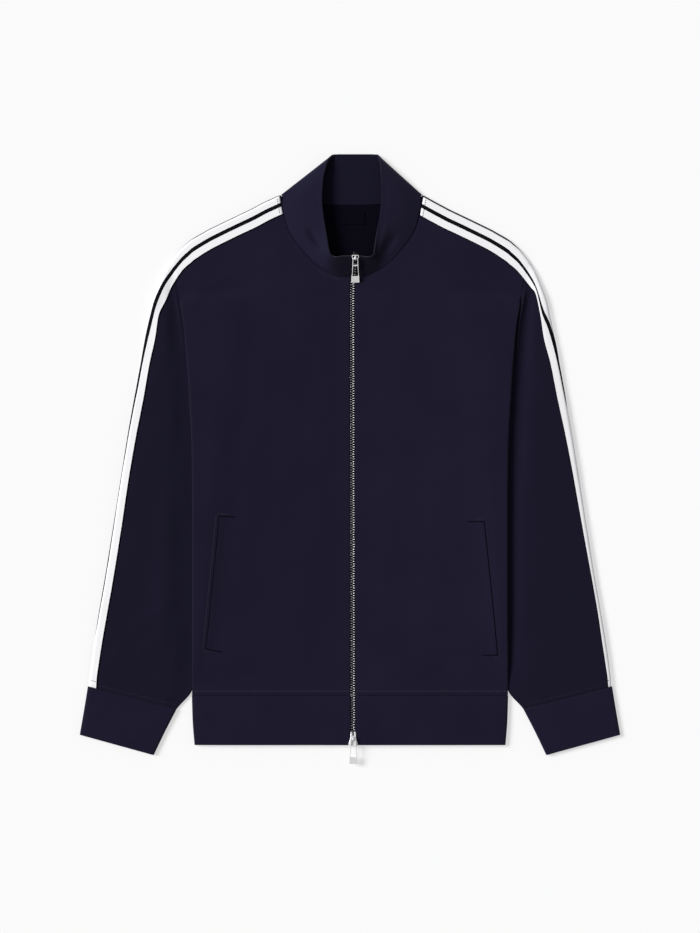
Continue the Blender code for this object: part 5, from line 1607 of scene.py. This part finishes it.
# The stage, in metres: how far the floor reaches, how far it lies under the jacket, its glow, and the
# tones of the light all round and of the distance that the camera sees
FLOOR_REACH, FLOOR_Z = 8.0, -0.0003
FLOOR_LOOK = {"Roughness": 0.9, "Specular IOR Level": 0.0, "Emission Color": (1.0, 1.0, 1.0, 1.0),
              "Emission Strength": 0.545}
SKY_LOOK, FAR_LOOK = {"Color": (1.0, 1.0, 1.0, 1.0), "Strength": 0.34}, {"Color": (0.95, 0.95, 0.955, 1.0)}
SUN_STRENGTH, SUN_SPREAD, SUN_FROM = 3.85, 25, (-0.74, 0.24, 0.60)
# The camera, straight above: its height, its place up the jacket and the height of what it sees
CAMERA_HEIGHT, CAMERA_Y, VIEW_TALL, SENSOR, FAR_CLIP = 3.0, -0.00875, 1.16625, 36.0, 200.0


class CLOTH_OT_stage(bpy.types.Operator):
    """Build the pale floor, the soft light and the camera straight above"""
    bl_idname = "jacket.stage"
    bl_label = "Stage"

    @staticmethod
    def clear_from_below(tree, shader):
        """Let the jacket's underside be seen through the floor."""
        side = add_node(tree, "ShaderNodeNewGeometry", (0, 400))
        clear = add_node(tree, "ShaderNodeBsdfTransparent", (0, -400))
        mix = add_node(tree, "ShaderNodeMixShader", (300, 100))
        wire(tree, (side.outputs["Backfacing"], mix.inputs["Fac"]), (shader.outputs["BSDF"], mix.inputs[1]),
             (clear.outputs["BSDF"], mix.inputs[2]),
             (mix.outputs["Shader"], tree.nodes["Material Output"].inputs["Surface"]))

    @staticmethod
    def pale_distance(tree):
        """Soft even light, with a background as pale as the floor where the camera sees it."""
        soft = tree.nodes["Background"]
        set_inputs(soft, SKY_LOOK)
        seen = add_node(tree, "ShaderNodeBackground", (0, -200), FAR_LOOK)
        path = add_node(tree, "ShaderNodeLightPath", (0, 300))
        mix = add_node(tree, "ShaderNodeMixShader", (300, 100))
        wire(tree, (path.outputs["Is Camera Ray"], mix.inputs["Fac"]),
             (soft.outputs["Background"], mix.inputs[1]), (seen.outputs["Background"], mix.inputs[2]),
             (mix.outputs["Shader"], tree.nodes["World Output"].inputs["Surface"]))

    def execute(self, context):
        scene = context.scene
        mesh = bpy.data.meshes.new("floor")
        corners = ((-1, -1), (1, -1), (1, 1), (-1, 1))
        places = [(x * FLOOR_REACH, y * FLOOR_REACH, FLOOR_Z) for x, y in corners]
        mesh.from_pydata(places, [], [[0, 1, 2, 3]])
        floor = bpy.data.objects.new("floor", mesh)
        scene.collection.objects.link(floor)
        pale, tree, shader = new_material("pale floor")
        set_inputs(shader, {"Base Color": (*colour("floor"), 1.0), **FLOOR_LOOK})
        self.clear_from_below(tree, shader)
        mesh.materials.append(pale)
        world = bpy.data.worlds.new("soft studio")
        world.use_nodes = True
        self.pale_distance(world.node_tree)
        scene.world = world
        sun = bpy.data.lights.new("key", "SUN")
        sun.energy = SUN_STRENGTH
        sun.angle = math.radians(SUN_SPREAD)
        key = bpy.data.objects.new("key", sun)
        key.rotation_euler = Vector(SUN_FROM).to_track_quat("Z", "Y").to_euler()
        lens = bpy.data.cameras.new("camera")
        lens.sensor_width = SENSOR
        lens.lens = SENSOR * CAMERA_HEIGHT / VIEW_TALL
        lens.clip_end = FAR_CLIP
        camera = bpy.data.objects.new("camera", lens)
        camera.location = (0.0, CAMERA_Y, CAMERA_HEIGHT)
        for made in (key, camera):
            scene.collection.objects.link(made)
        scene.camera = camera
        scene.view_settings.view_transform = "Standard"
        scene.view_settings.look = "None"
        return {"FINISHED"}


STEPS = (CLOTH_OT_fronts, CLOTH_OT_back, CLOTH_OT_sleeves, CLOTH_OT_cuffs, CLOTH_OT_hem_band,
         CLOTH_OT_collar, CLOTH_OT_pocket_welts, CLOTH_OT_sleeve_tapes, CLOTH_OT_zip_ribbons,
         CLOTH_OT_zip_teeth, CLOTH_OT_sliders, CLOTH_OT_pull_tabs, CLOTH_OT_neck_label,
         CLOTH_OT_topstitching, CLOTH_OT_stage)


class CLOTH_PT_jacket(bpy.types.Panel):
    """Sizes, colours and build steps of the jacket"""
    bl_label = "Track jacket"
    bl_space_type = "VIEW_3D"
    bl_region_type = "UI"
    bl_category = "Jacket"

    def draw(self, context):
        for group in (context.scene.jacket_sizes, context.scene.jacket_colours):
            for name in group.__annotations__:
                self.layout.prop(group, name)
        for step in STEPS:
            self.layout.operator(step.bl_idname)


CLASSES = (JacketColours, JacketSizes, *STEPS, CLOTH_PT_jacket)


def register():
    """Register the classes and hang the settings on the scene."""
    for made in CLASSES:
        bpy.utils.register_class(made)
    bpy.types.Scene.jacket_colours = PointerProperty(type=JacketColours)
    bpy.types.Scene.jacket_sizes = PointerProperty(type=JacketSizes)


def unregister():
    """Take the settings and the classes away again."""
    del bpy.types.Scene.jacket_sizes
    del bpy.types.Scene.jacket_colours
    for made in reversed(CLASSES):
        bpy.utils.unregister_class(made)


def main():
    """Build the whole jacket."""
    register()
    for step in STEPS:
        group, name = step.bl_idname.split(".")
        getattr(getattr(bpy.ops, group), name)()


if __name__ == "__main__":
    main()
